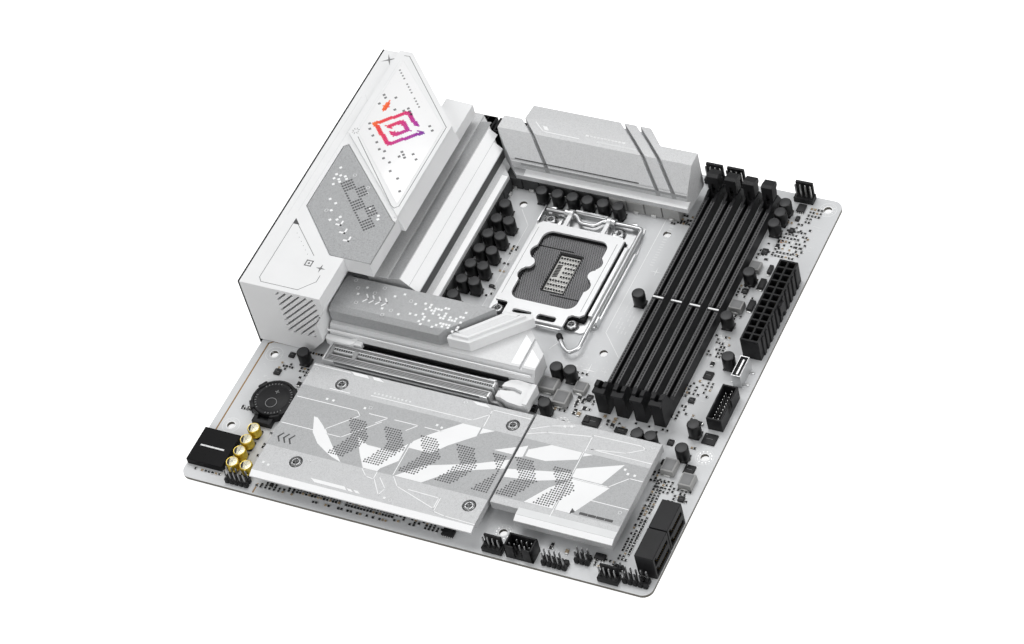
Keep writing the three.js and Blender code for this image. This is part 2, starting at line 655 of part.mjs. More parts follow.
// The white cover over the connectors: a front box, a long roof and the side skirts.
function ioShroud() {
  const { x0, top, wall } = SHROUD;
  const y0 = SHIELD.y0;
  const y1 = SHIELD.y1;
  const frontProfile = [
    [x0, 2], [28, 2], [36.5, 11.4], [36.5, 27.9], [40.5, 31.3], [43, 36.3], [43, top], [x0, top],
  ];
  const innerProfile = [
    [x0 - 5, -1], [26.6, -1], [34.9, 10.8], [34.9, 27.2], [39, 30.8], [41.4, 35.6],
    [41.4, top - wall], [x0 - 5, top - wall],
  ];
  const outline = [
    [x0, y0], [43, y0], [43, 105.5], [35, 113.5], [57, 113.5], [57, 206], [15, y1], [x0, y1],
  ];
  const front = alongY(frontProfile, y0, 118);
  const roof = plan(outline, top - 9, top);
  const rearStep = plan([[20, 200], [56.6, 200], [56.6, 228.6], [34, 229.6], [20, 243]], 31, 38);
  const raised = plan([[8, 189], [57.4, 144], [57.4, 206], [15.4, y1], [8, y1]], top - 2, top + 1.6);
  const bevel = alongY([[55, 36], [59.6, 36], [57, top + 0.4], [55, top + 0.4]], 144, 206);
  const hollow = alongY(innerProfile, y0 + wall, y1 + 5);
  const under = plan(
    [[x0 - 5, 100], [41, 118], [55.4, 115.1], [55.4, 205], [15, y1 - wall], [x0 - 5, y1 - wall]],
    20,
    top - wall,
  );
  const underStep = plan([[20, 190], [55, 190], [55, 227], [34, 228], [20, 241]], 20, 36.6);
  const backWall = box(x0, 15, y1 - wall, y1, 2, top - 1);
  const insertSeat = plan(
    [[8.6, 139.9], [34.9, 113.6], [60, 113.6], [60, 141], [55.6, 142], [10.8, 183], [8.6, 181]],
    top - 1.2,
    top + 1,
  );
  const shell = cut(join(front, roof, rearStep, raised, bevel), hollow, under, underStep, insertSeat);
  return cut(join(shell, backWall), ...ventSlots());
}
add("io_shroud", ioShroud(), "shell");

function shroudInsert() {
  const z = SHROUD.top - 1.2;
  return plan(
    [[9, 140.1], [35.1, 114], [56.9, 114], [56.9, 141.4], [55.4, 141.8], [10.9, 182.6], [9, 180.8]],
    z + 0.1,
    z + 1.1,
  );
}
add("shroud_insert", shroudInsert(), "grey");

function lightPanel() {
  const z = SHROUD.top + 1.6;
  return plan([[13, 190], [53.8, 151], [53.8, 203.6], [13, 241.4]], z, z + 0.3);
}
add("shroud_light_panel", lightPanel(), "shell");

// ---------------------------------------------------------------- power and data headers

// A block of square cells open at the top, as power sockets have.
function cellBlock(columns, rows) {
  const { pitch, wall, height } = CELL;
  const cells = [];
  for (let i = 0; i < columns; i++) {
    for (let j = 0; j < rows; j++) {
      const x = wall + i * pitch;
      const y = wall + j * pitch;
      cells.push(box(x, x + pitch - wall, y, y + pitch - wall, TOP + 3, TOP + height + 5));
    }
  }
  return cut(box(0, columns * pitch + wall, 0, rows * pitch + wall, TOP, TOP + height), ...cells);
}

function atxSocket() {
  const latchBar = box(9, 10.6, 24, 29, 7, 12.6);
  return join(cellBlock(2, 12), latchBar);
}
add("atx_power_socket", atxSocket(), "plastic", [232.2, 140.4, 0]);
[41, 60].forEach((x, i) =>
  add("eps_power_socket_" + (i + 1), cellBlock(4, 2), "plastic", [x, 234.2, 0]),
);

function usb3Header() {
  const well = box(0.8, 6.8, 0.9, 20.3, 3.4, 20);
  const keyGap = box(6, 9, 8.4, 12.8, 5, 20);
  return cut(box(0, 7.6, 0, 21.2, TOP, 9.6), well, keyGap);
}
add("usb3_header", usb3Header(), "plastic", [232.6, 95.8, 0]);

function usbCHeader() {
  const shell = cut(box(0, 4.6, 0, 12.4, TOP, 9.8), box(0.5, 4.1, 0.5, 11.9, 3, 20));
  const tongue = box(1.8, 2.8, 1.6, 10.8, 2, 9.2);
  return join(shell, tongue);
}
add("usb_c_header", usbCHeader(), "steel", [234.2, 122.6, 0]);

function sataStack() {
  const body = box(0, 9.2, 0, 16.2, TOP, 15.9);
  const mouth = (z) => join(box(3, 12, 1.4, 14.8, z, z + 2.4), box(3, 12, 1.4, 3.2, z, z + 4.2));
  return cut(body, mouth(3.4), mouth(9.6));
}
[10.3, 26.9].forEach((y, i) => add("sata_stack_" + (i + 1), sataStack(), "plastic", [234.2, y, 0]));

function fanHeader() {
  return join(box(0, 10, 0, 5, TOP, 4.6), box(0.6, 9.4, 3.6, 5, TOP, 12.4));
}
[219.4, 172.2, 183.4].forEach((x, i) =>
  add("fan_header_" + (i + 1), fanHeader(), "plastic", [x, 238.5, 0]),
);

// ---------------------------------------------------------------- battery and sound

function batteryHolder() {
  const ring = cut(post(0, 0, 11.4, TOP, 5.6, 28), post(0, 0, 10.3, 2.6, 9, 28));
  const clip = box(-5, 5, -14.4, -9, TOP, 4.8);
  return cut(join(ring, clip), post(0, 0, 10.3, 2.6, 9, 28), box(-3, 3, -12.6, -8, 3, 9));
}
add("battery_holder", batteryHolder(), "plastic", [25.5, 52, 0]);

function coinCell() {
  const profile = [[0, 2.7], [9, 2.7], [9.3, 3], [9.3, 3.2], [10, 3.4], [10, 5.6], [9.7, 5.9], [0, 5.9]];
  return turned(profile, 28);
}
add("coin_cell", coinCell(), "steel", [25.5, 52, 0]);

// A thin can, open below, over the sound chip.
function audioShield() {
  return cut(box(0, 19.5, 0, 20, TOP, 5.2), box(0.3, 19.2, 0.3, 19.7, 1, 4.9));
}
add("audio_chip_shield", audioShield(), "steel", [0.6, 7.6, 0]);

// ---------------------------------------------------------------- the assembly's own frame

const bounds = new THREE.Box3().setFromObject(board);
const middle = bounds.getCenter(new THREE.Vector3());
board.position.set(-middle.x, -middle.y, -bounds.min.z);

const motherboard = new THREE.Group();
motherboard.add(board);

export default motherboard;
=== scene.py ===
# The looks of a microATX computer motherboard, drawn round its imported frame.
# Small parts are drawn in board millimetres: X from the rear edge to the front edge, Y from the
# bottom edge to the top edge, Z up from the underside of the board. put() moves them to the frame.
import math
import random

import bmesh
import bpy
from mathutils import Matrix, Vector


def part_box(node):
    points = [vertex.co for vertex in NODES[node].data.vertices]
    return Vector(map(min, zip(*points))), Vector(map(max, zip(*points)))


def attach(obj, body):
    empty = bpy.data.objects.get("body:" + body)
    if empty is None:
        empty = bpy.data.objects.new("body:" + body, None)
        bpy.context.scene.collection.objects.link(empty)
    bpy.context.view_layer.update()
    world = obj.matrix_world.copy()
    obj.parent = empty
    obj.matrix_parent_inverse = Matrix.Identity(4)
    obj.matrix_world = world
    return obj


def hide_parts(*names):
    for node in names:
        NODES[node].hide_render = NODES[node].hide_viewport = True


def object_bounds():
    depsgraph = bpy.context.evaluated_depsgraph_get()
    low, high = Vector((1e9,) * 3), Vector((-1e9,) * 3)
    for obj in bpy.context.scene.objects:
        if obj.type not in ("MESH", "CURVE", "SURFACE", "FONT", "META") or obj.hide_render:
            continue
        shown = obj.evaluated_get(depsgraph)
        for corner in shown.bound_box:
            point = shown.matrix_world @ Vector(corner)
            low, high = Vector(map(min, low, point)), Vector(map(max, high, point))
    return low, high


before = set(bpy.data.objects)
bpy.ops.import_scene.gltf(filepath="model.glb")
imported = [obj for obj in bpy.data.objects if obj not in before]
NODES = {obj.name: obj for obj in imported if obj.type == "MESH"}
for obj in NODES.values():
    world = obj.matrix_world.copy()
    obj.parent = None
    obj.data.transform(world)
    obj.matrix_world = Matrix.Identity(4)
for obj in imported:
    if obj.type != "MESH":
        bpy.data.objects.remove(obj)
cad_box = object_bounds()

MM = 0.001
TOP = 1.6  # the board's upper face
PIN_PITCH = 2.54
PIN_WIDTH = 0.64
CELL_PITCH = 4.2  # of the power sockets
SOCKET = (128.0, 163.6)  # middle of the processor socket
FRAME_SCREWS = [(-19.8, 31.1), (16.9, 31.1), (-21.4, -28.6), (18, -28.6)]  # from that middle
DIMM_X = [182.2 + 9.5 * i for i in range(4)]
SLOT_Y = 81.7  # middle line of the card slot
SLOT_TOP = 12.36
BATTERY = (25.5, 52.0)
PLATE_TOP = 11.9  # of the lower cooler plates
CARRIER_TOP = 16.8
HANDLE_TOP = 24.8
BAR_TOP = 26.0
SINK_TOP = 30.8  # of the cooler along the top edge
ROOF_TOP = 44.4  # of the rear cover
PANEL_TOP = 46.0  # of its light panel
# Each power socket: the corner of its cells, and its columns and rows.
POWER_SOCKETS = [(232.2, 140.4, 2, 12), (41, 234.2, 4, 2), (60, 234.2, 4, 2)]
# Each connector in the rear plate: its two ends along Y.
REAR_PORTS = ((90, 106), (110, 124.5), (128, 144.5), (148, 162.5), (184, 202), (206, 222))
pcb_low, pcb_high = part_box("pcb")
ORIGIN = Vector((pcb_low.x, pcb_low.y, pcb_high.z - TOP * MM))
TO_ROW = Matrix.Translation(ORIGIN) @ Matrix.Scale(MM, 4)


# ---------------------------------------------------------------- materials

def nodes_of(name):
    material = bpy.data.materials.new(name)
    material.use_nodes = True
    tree = material.node_tree
    return material, tree, tree.nodes["Principled BSDF"]


def feed(tree, node, inputs):
    """Sets a node's inputs, each from a plain value or from another node's output."""
    for name, value in inputs.items():
        if isinstance(value, bpy.types.NodeSocket):
            tree.links.new(value, node.inputs[name])
        else:
            node.inputs[name].default_value = value


def new_node(tree, kind, inputs=None):
    node = tree.nodes.new("ShaderNode" + kind)
    feed(tree, node, inputs or {})
    return node


def place_in(tree):
    """Where a point of the surface lies on its object."""
    return new_node(tree, "TexCoord").outputs["Object"]


def noise(tree, scale, detail):
    inputs = {"Scale": scale, "Detail": detail, "Vector": place_in(tree)}
    return new_node(tree, "TexNoise", inputs).outputs["Fac"]


def spread(tree, value, low, high):
    """A 0 to 1 value mapped to the range from low to high."""
    return new_node(tree, "MapRange", {"To Min": low, "To Max": high, "Value": value}).outputs["Result"]


def ramp(tree, value, stops):
    node = new_node(tree, "ValToRGB", {"Fac": value})
    elements = node.color_ramp.elements
    while len(elements) < len(stops):
        elements.new(0.5)
    for element, (position, colour) in zip(elements, stops):
        element.position = position
        element.color = (*colour, 1)
    return node.outputs["Color"]


def bump(tree, height, strength, distance):
    inputs = {"Strength": strength, "Distance": distance * MM, "Height": height}
    return new_node(tree, "Bump", inputs).outputs["Normal"]


def blend(tree, a, b, factor, kind="MIX"):
    """Two colours mixed by a factor."""
    mix = new_node(tree, "Mix")
    mix.data_type = "RGBA"
    mix.blend_type = kind
    feed(tree, mix, {"A": a, "B": b, "Factor": factor})
    return mix.outputs["Result"]


def shade(colour, factor):
    return tuple(min(1.0, c * factor) for c in colour)


def surface(
    name, colour, rough, metal=0.0, vary=0.06, grain=900, bumpiness=0.15, depth=0.02, coat=0.0, shine=0.5
):
    """A smooth maker's finish: mottled colour, uneven roughness and a fine grain in the surface."""
    material, tree, shader = nodes_of(name)
    broad = noise(tree, 60, 4)
    fine = noise(tree, grain, 5)
    feed(tree, shader, {
        "Base Color": ramp(tree, broad, [(0.3, shade(colour, 1 - vary)), (0.7, shade(colour, 1 + vary))]),
        "Roughness": spread(tree, fine, rough - 0.07, rough + 0.07),
        "Metallic": metal,
        "Coat Weight": coat,
        "Specular IOR Level": shine,
        "Normal": bump(tree, fine, bumpiness, depth),
    })
    return material


def sparkle(name, colour, rough, metal, vary=0.16):
    """Blasted aluminium paint: tiny flakes, each a little lighter or darker than its neighbour."""
    material, tree, shader = nodes_of(name)
    flakes = new_node(tree, "TexVoronoi", {"Scale": 3600, "Detail": 3.0, "Vector": place_in(tree)})
    both = {"Factor": 0.45, "A": flakes.outputs["Color"], "B": noise(tree, 900, 2)}
    mix = new_node(tree, "Mix", both).outputs["Result"]
    stops = [(0.2, shade(colour, 1 - vary)), (0.55, colour), (0.85, shade(colour, 1 + vary))]
    feed(tree, shader, {
        "Base Color": ramp(tree, mix, stops),
        "Roughness": spread(tree, flakes.outputs["Distance"], rough - 0.08, rough + 0.12),
        "Metallic": metal,
        "Normal": bump(tree, flakes.outputs["Distance"], 0.12, 0.03),
    })
    return material


def board_mask():
    """Pale solder mask over faint copper traces, with bare laminate on the cut edges."""
    material, tree, shader = nodes_of("board_mask")
    traces = new_node(tree, "TexBrick", {
        "Scale": 260,
        "Mortar Size": 0.012,
        "Color1": (1, 1, 1, 1),
        "Color2": (0.96, 0.96, 0.96, 1),
        "Mortar": (0.86, 0.86, 0.86, 1),
        "Vector": place_in(tree),
    })
    tint = ramp(tree, noise(tree, 22, 5), [(0.3, (0.6, 0.61, 0.62)), (0.7, (0.68, 0.69, 0.7))])
    faint = blend(tree, tint, traces.outputs["Color"], 0.25, "MULTIPLY")
    normal = new_node(tree, "NewGeometry").outputs["True Normal"]
    upright = new_node(tree, "Math")
    upright.operation = "ABSOLUTE"
    tree.links.new(new_node(tree, "SeparateXYZ", {"Vector": normal}).outputs["Z"], upright.inputs[0])
    feed(tree, shader, {
        "Base Color": blend(tree, (0.13, 0.12, 0.1, 1), faint, upright.outputs["Value"]),
        "Roughness": spread(tree, noise(tree, 1500, 3), 0.36, 0.5),
        "Normal": bump(tree, traces.outputs["Fac"], 0.05, 0.02),
    })
    return material


def pixel_glow():
    """The colour run of the lit motif along X, from orange through magenta to violet."""
    material, tree, shader = nodes_of("motif_ink")
    axes = new_node(tree, "SeparateXYZ", {"Vector": place_in(tree)})
    ends = {"From Min": ORIGIN.x + 14 * MM, "From Max": ORIGIN.x + 49 * MM, "Value": axes.outputs["X"]}
    run = new_node(tree, "MapRange", ends).outputs["Result"]
    tint = ramp(tree, run, [
        (0.0, (0.95, 0.3, 0.01)),
        (0.2, (0.8, 0.03, 0.01)),
        (0.45, (0.68, 0.004, 0.13)),
        (0.7, (0.42, 0.004, 0.3)),
        (1.0, (0.08, 0.01, 0.33)),
    ])
    feed(tree, shader, {
        "Base Color": tint,
        "Emission Color": tint,
        "Emission Strength": 0.03,
        "Roughness": spread(tree, noise(tree, 900, 3), 0.3, 0.45),
    })
    return material


MASK = board_mask()
WHITE = surface("white_plastic", (0.80, 0.805, 0.81), 0.42, vary=0.02, grain=1800, bumpiness=0.06)
PANEL = surface("light_panel", (0.88, 0.88, 0.885), 0.3, vary=0.01, grain=700, bumpiness=0.03, coat=0.3)
SILVER = sparkle("silver_aluminium", (0.47, 0.475, 0.48), 0.42, 0.3, 0.2)
SILVER_LIGHT = sparkle("silver_aluminium_light", (0.66, 0.665, 0.67), 0.4, 0.2, 0.08)
COOLER = sparkle("silver_aluminium_cooler", (0.56, 0.565, 0.57), 0.42, 0.25, 0.16)
# A darker aluminium: the bar's tone and the lower plates' bands, and also strips of painted shade on the
# upper coolers.
SILVER_DARK = sparkle("silver_band_and_painted_shade", (0.36, 0.365, 0.37), 0.45, 0.25, 0.22)
GREY_SPARK = sparkle("grey_sparkle", (0.31, 0.315, 0.32), 0.45, 0.3, 0.34)
# Near-white aluminium for painted highlights on facets, bevels and ledges that face the light.
PAINTED_HIGHLIGHT = sparkle("painted_highlight", (0.93, 0.935, 0.94), 0.34, 0.05, 0.03)
# Near-black aluminium for strips of painted shade on the coolers' steep faces and shadow lines.
PAINTED_SHADE = sparkle("painted_shade_band", (0.07, 0.071, 0.072), 0.45, 0.3, 0.3)
STEEL = surface("bright_steel", (0.64, 0.645, 0.65), 0.3, 1.0, 0.05, 60, 0.01, 0.002)
SCREW_STEEL = surface("screw_steel", (0.34, 0.343, 0.347), 0.28, 0.9, 0.08, 700, 0.05, 0.005)
STEEL_DARK = surface("shadow_steel", (0.12, 0.121, 0.123), 0.3, 0.9, 0.1, 900, 0.1, 0.01)
SATIN_STEEL = surface("satin_steel", (0.7, 0.705, 0.71), 0.36, 0.5, 0.03, 1500, 0.1, 0.01)
TIN = surface("solder_tin", (0.7, 0.7, 0.69), 0.3, 0.9, 0.12, 1200, 0.3, 0.05)
GOLD = surface("gold_plating", (0.83, 0.58, 0.18), 0.27, 1.0, 0.08, 1500, 0.1, 0.01)
COPPER = surface("copper_ring", (0.7, 0.34, 0.15), 0.3, 1.0, 0.08, 1500)
BLACK = surface("black_plastic", (0.009, 0.009, 0.01), 0.42, 0.0, 0.25, 1400, 0.25, 0.04, 0.0, 0.22)
BLACK_SOFT = surface("black_moulding", (0.013, 0.013, 0.014), 0.55, 0.0, 0.2, 1100, 0.4, 0.06, 0.0, 0.25)
CHARCOAL = surface("charcoal_plastic", (0.014, 0.014, 0.015), 0.45, 0.0, 0.15, 1600, 0.3, 0.04, 0.0, 0.3)
# Grey for the memory slot rails' edges and ribs: painted highlights on black plastic.
RAIL_HIGHLIGHT = surface("rail_highlight_grey", (0.115, 0.115, 0.117), 0.4, 0.0, 0.15, 1600, 0.3, 0.04, 0.0, 0.35)
SLOT_GREY = surface("slot_grey", (0.3, 0.302, 0.305), 0.42, 0.2, 0.1, 1400, 0.2, 0.03)
GREY = surface("grey_plastic", (0.3, 0.305, 0.31), 0.5, 0.0, 0.06, 1200)
CHOKE = surface("ferrite_dark", (0.04, 0.041, 0.042), 0.6, 0.1, 0.25, 1300, 0.5, 0.08, 0.0, 0.3)
INDUCTOR = surface("ferrite_grey", (0.33, 0.33, 0.325), 0.55, 0.15, 0.15, 1500, 0.4, 0.06)
SLEEVE = surface("capacitor_black", (0.007, 0.007, 0.0075), 0.3, 0.1, 0.2, 900, 0.15, 0.03, 0.0, 0.3)
CAN_TOP = surface("capacitor_top", (0.04, 0.0405, 0.042), 0.42, 0.2, 0.15, 1500, 0.2, 0.02, 0.0, 0.35)
CAN_GOLD = surface("capacitor_gold", (0.72, 0.52, 0.06), 0.3, 0.75, 0.08, 900, 0.1, 0.02, 0.2)
CAN_SILVER = surface("capacitor_lid", (0.66, 0.62, 0.46), 0.32, 0.5, 0.1, 1500, 0.1, 0.02)
STRIP = surface("bare_strip", (0.27, 0.16, 0.06), 0.45, 0.3, 0.15, 1500)
GLOSS = surface("gloss_black", (0.004, 0.004, 0.0045), 0.3, 0.0, 0.2, 900, 0.05, 0.01, 0.0, 0.1)
CHIP = surface("chip_resin", (0.016, 0.016, 0.017), 0.5, 0.0, 0.2, 2500, 0.35, 0.03, 0.0, 0.3)
CERAMIC = surface("ceramic_tan", (0.33, 0.25, 0.16), 0.45, 0.0, 0.25, 1500)
BEIGE = surface("substrate_grey", (0.64, 0.635, 0.61), 0.5, 0.0, 0.12, 1500)
CONTACT = surface("contact_nickel", (0.17, 0.17, 0.175), 0.4, 0.6, 0.2, 1500)
INK_WHITE = surface("ink_white", (0.86, 0.865, 0.87), 0.45, 0.0, 0.02, 2500, 0.1, 0.01)
INK_PALE = surface("ink_pale", (0.72, 0.73, 0.735), 0.45, 0.0, 0.03, 2500, 0.1, 0.01)
INK_GREY = surface("ink_grey", (0.06, 0.06, 0.062), 0.5, 0.0, 0.08, 2500, 0.1, 0.01)
INK_MID = surface("ink_mid_grey", (0.19, 0.192, 0.195), 0.5, 0.0, 0.06, 2500, 0.1, 0.01)
BLUE = surface("port_blue", (0.03, 0.12, 0.45), 0.4, 0.0, 0.08, 1200)
RED = surface("port_red", (0.4, 0.03, 0.05), 0.4, 0.0, 0.08, 1200)
LIME = surface("port_lime", (0.2, 0.5, 0.12), 0.4, 0.0, 0.08, 1200)
PINK = surface("port_pink", (0.6, 0.2, 0.28), 0.4, 0.0, 0.08, 1200)
MOTIF = pixel_glow()


# ---------------------------------------------------------------- mesh shapes

def read_out(bm):
    """The corners and faces of a finished bmesh, which is then freed."""
    bm.verts.index_update()
    shape = ([v.co.copy() for v in bm.verts], [[v.index for v in f.verts] for f in bm.faces])
    bm.free()
    return shape


def soften(bm, width, segments=2, least=30):
    """Bevels the edges whose faces meet at more than least degrees."""
    edges = [e for e in bm.edges if len(e.link_faces) == 2 and e.calc_face_angle(0) > math.radians(least)]
    shape = {"segments": segments, "profile": 0.5, "affect": "EDGES", "clamp_overlap": True}
    bmesh.ops.bevel(bm, geom=edges, offset=width, **shape)


def prism(points, z0, z1, width=0.0, taper=1.0):
    """A plan outline raised from z0 to z1, with rounded edges and optionally a smaller top."""
    bm = bmesh.new()
    middle = sum((Vector(p) for p in points), Vector((0, 0))) / len(points)
    low = [bm.verts.new((x, y, z0)) for x, y in points]
    high = [bm.verts.new((*(middle + (Vector(p) - middle) * taper), z1)) for p in points]
    count = len(points)
    bm.faces.new(low[::-1])
    bm.faces.new(high)
    for i in range(count):
        j = (i + 1) % count
        bm.faces.new((low[i], low[j], high[j], high[i]))
    bmesh.ops.recalc_face_normals(bm, faces=bm.faces)
    if width:
        soften(bm, width)
    return read_out(bm)


def block(x0, x1, y0, y1, z0, z1, width=0.0, taper=1.0):
    return prism([(x0, y0), (x1, y0), (x1, y1), (x0, y1)], z0, z1, width, taper)


def slab(width, depth, z0, z1, round_by=0.0, taper=1.0):
    """A block centred on the Z axis."""
    return block(-width / 2, width / 2, -depth / 2, depth / 2, z0, z1, round_by, taper)


def lathe(profile, sides=28):
    """A profile of (radius, height) turned about the Z axis. Radius 0 closes an end."""
    bm = bmesh.new()
    rings = []
    for radius, height in profile:
        if radius == 0:
            rings.append([bm.verts.new((0, 0, height))])
        else:
            turn = [2 * math.pi * i / sides for i in range(sides)]
            rings.append([bm.verts.new((radius * math.cos(a), radius * math.sin(a), height)) for a in turn])
    pairs = list(zip(rings, rings[1:]))
    if len(rings[0]) > 1 and len(rings[-1]) > 1:
        pairs.append((rings[-1], rings[0]))
    for below, above in pairs:
        for i in range(sides):
            j = (i + 1) % sides
            corners = [below[i % len(below)], below[j % len(below)]]
            corners += [above[j % len(above)], above[i % len(above)]]
            bm.faces.new(list(dict.fromkeys(corners)))
    bmesh.ops.recalc_face_normals(bm, faces=bm.faces)
    return read_out(bm)


def ring(inner, outer, z0, z1, sides):
    """A flat ring, or a disc where the inner radius is 0."""
    return lathe([(inner, z0), (outer, z0), (outer, z1), (inner, z1)], sides)


def rounded_path(points, bend, steps=6):
    """Points along straight runs whose corners are turned into arcs."""
    points = [Vector(p) for p in points]
    path = [points[0]]
    for before, corner, after in zip(points, points[1:], points[2:]):
        start = corner + (before - corner).normalized() * bend
        end = corner + (after - corner).normalized() * bend
        for i in range(steps + 1):
            t = i / steps
            path.append(start.lerp(corner, t).lerp(corner.lerp(end, t), t))
    path.append(points[-1])
    return path


def tube(path, radius, sides=14):
    """A round wire along a path, with rounded ends."""
    bm = bmesh.new()
    rings = []
    normal = None
    last = len(path) - 1
    for i, point in enumerate(path):
        along = (path[min(i + 1, last)] - path[max(i - 1, 0)]).normalized()
        if normal is None:
            normal = along.orthogonal().normalized()
        normal = (normal - along * normal.dot(along)).normalized()
        side = along.cross(normal)
        turn = [2 * math.pi * k / sides for k in range(sides)]
        ways = [normal * math.cos(a) + side * math.sin(a) for a in turn]
        rings.append([bm.verts.new(point + way * radius) for way in ways])
    for below, above in zip(rings, rings[1:]):
        for i in range(sides):
            j = (i + 1) % sides
            bm.faces.new((below[i], below[j], above[j], above[i]))
    bm.faces.new(rings[0][::-1])
    bm.faces.new(rings[-1])
    bmesh.ops.recalc_face_normals(bm, faces=bm.faces)
    soften(bm, radius * 0.35, 2, 60)
    return read_out(bm)


def film(points, thick=0.03):
    """A thin printed patch: a flat outline in space, raised along its own normal."""
    points = [Vector(p) for p in points]
    normal = Vector((0, 0, 0))
    for a, b in zip(points, points[1:] + points[:1]):
        normal += a.cross(b)
    normal.normalize()
    if normal.z < 0:
        points.reverse()
        normal = -normal
    count = len(points)
    corners = [p - normal * thick for p in points] + [p + normal * thick for p in points]
    faces = [list(range(count))[::-1], list(range(count, 2 * count))]
    faces += [[i, (i + 1) % count, (i + 1) % count + count, i + count] for i in range(count)]
    return corners, faces


def sheet(x0, x1, y0, y1, z, thick=0.03):
    """A printed rectangle at height z."""
    return film([(x0, y0, z), (x1, y0, z), (x1, y1, z), (x0, y1, z)], thick)


def patch(points, z):
    """A printed outline at height z."""
    return film([(x, y, z) for x, y in points])


def stroke(points, z, width=0.3, thick=0.03):
    """Printed line segments along a plan path at height z."""
    shapes = []
    for a, b in zip(points, points[1:]):
        a, b = Vector(a), Vector(b)
        along = (b - a).normalized() * width / 2
        side = Vector((-along.y, along.x))
        corners = [a - along - side, b + along - side, b + along + side, a - along + side]
        shapes.append(film([(c.x, c.y, z) for c in corners], thick))
    return shapes


def around(x, y, radius, degrees):
    """The point at a distance and an angle from a centre in plan."""
    angle = math.radians(degrees)
    return x + radius * math.cos(angle), y + radius * math.sin(angle)


def grid(x0, y0, columns, rows, dx, dy):
    """Column, row and place of each point of a grid, column by column."""
    for i in range(columns):
        for j in range(rows):
            yield i, j, x0 + dx * i, y0 + dy * j


def star(x, y, z, reach, waist=0.16, turn=0.0):
    """A four-pointed star printed at height z."""
    radii = (reach, reach * waist)
    return patch([around(x, y, radii[i % 2], 45 * i + turn) for i in range(8)], z)


class Piece:
    """One visible mesh made of many closed shapes, each with its own material."""

    def __init__(self, name, material, body="root", replaces=()):
        self.name, self.main, self.body, self.replaces = name, material, body, replaces
        self.corners, self.faces, self.looks, self.materials = [], [], [], []

    def add(self, shape, material=None, at=(0, 0, 0), turn=0.0, matrix=None):
        material = material or self.main
        if material not in self.materials:
            self.materials.append(material)
        look = self.materials.index(material)
        place = Matrix.Translation(at) @ (matrix or Matrix.Rotation(math.radians(turn), 4, "Z"))
        first = len(self.corners)
        self.corners += [place @ Vector(c) for c in shape[0]]
        self.faces += [[i + first for i in face] for face in shape[1]]
        self.looks += [look] * len(shape[1])
        return self

    def put(self, smooth=35):
        mesh = bpy.data.meshes.new(self.name)
        mesh.from_pydata([TO_ROW @ c for c in self.corners], [], self.faces)
        for material in self.materials:
            mesh.materials.append(material)
        mesh.polygons.foreach_set("material_index", self.looks)
        mesh.update()
        mesh.shade_smooth()
        mesh.set_sharp_from_angle(angle=math.radians(smooth))
        piece = bpy.data.objects.new(self.name, mesh)
        bpy.context.scene.collection.objects.link(piece)
        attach(piece, self.body)
        if self.replaces:
            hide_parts(*self.replaces)
        return piece


# ---------------------------------------------------------------- pieces carried over from the frame

HOLED = ("io_shroud", "io_shield", "pcb", "socket_frame", "socket_contact_body", "socket_backplate")


def dress(node, material, width=0.2):
    """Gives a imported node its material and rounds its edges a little."""
    piece = NODES[node]
    mesh = piece.data
    mesh.materials.clear()
    mesh.materials.append(material)
    if "custom_normal" in mesh.attributes:
        mesh.attributes.remove(mesh.attributes["custom_normal"])
    mesh.shade_smooth()
    weld = piece.modifiers.new("weld", "WELD")
    weld.merge_threshold = 0.002 * MM
    if node not in HOLED:
        flat = piece.modifiers.new("flat", "DECIMATE")
        flat.decimate_type = "DISSOLVE"
        flat.angle_limit = math.radians(0.5)
    edge = piece.modifiers.new("edge", "BEVEL")
    edge.width = width * MM
    edge.segments = 2
    edge.limit_method = "ANGLE"
    edge.angle_limit = math.radians(30)
    level = piece.modifiers.new("level", "WEIGHTED_NORMAL")
    level.mode = "FACE_AREA"
    level.weight = 100


def dress_all():
    """Each node's material and edge radius."""
    looks = [
        (MASK, 0.12, "pcb"),
        (STEEL, 0.2, "socket_backplate"),
        (STEEL, 0.15, "socket_frame pcie_slot_shell usb_c_header audio_jack_block usb_stack_1 lan_usb_block"),
        (STEEL, 0.15, "usb_stack_2 video_port_block antenna_block"),
        (SATIN_STEEL, 0.4, "socket_load_plate"),
        (SLOT_GREY, 0.15, "pcie_slot_body"),
        (WHITE, 0.5, "pcie_latch"),
        (WHITE, 0.4, "m2_release_handle"),
        (WHITE, 0.3, "io_shroud"),
        (SILVER_LIGHT, 0.4, "m2_upper_carrier"),
        (SILVER_DARK, 0.3, "m2_upper_heatsink"),
        (SILVER, 0.25, "m2_lower_heatsink chipset_heatsink"),
        (COOLER, 0.25, "vrm_heatsink_side vrm_heatsink_top"),
        (GREY_SPARK, 0.15, "shroud_insert"),
        (GREY, 0.2, "firmware_button reset_settings_button"),
        (CHIP, 0.2, "chipset_package"),
        (GLOSS, 0.3, "audio_chip_shield"),
        (BLACK_SOFT, 0.15, "socket_contact_body io_shield"),
        (BLACK, 0.15, "dimm_slot_1 dimm_slot_2 dimm_slot_3 dimm_slot_4"),
        (BLACK, 0.2, "m2_upper_socket m2_lower_socket"),
        (BLACK, 0.2, "atx_power_socket eps_power_socket_1 eps_power_socket_2"),
        (BLACK, 0.2, "usb3_header fan_header_1 fan_header_2 fan_header_3"),
        (BLACK, 0.25, "battery_holder"),
        (BLACK, 0.3, "sata_stack_1 sata_stack_2"),
        (CHARCOAL, 0.3, "dimm_latch_1 dimm_latch_2 dimm_latch_3 dimm_latch_4"),
    ]
    for material, width, names in looks:
        for node in names.split():
            dress(node, material, width)


# ---------------------------------------------------------------- capacitors and inductors

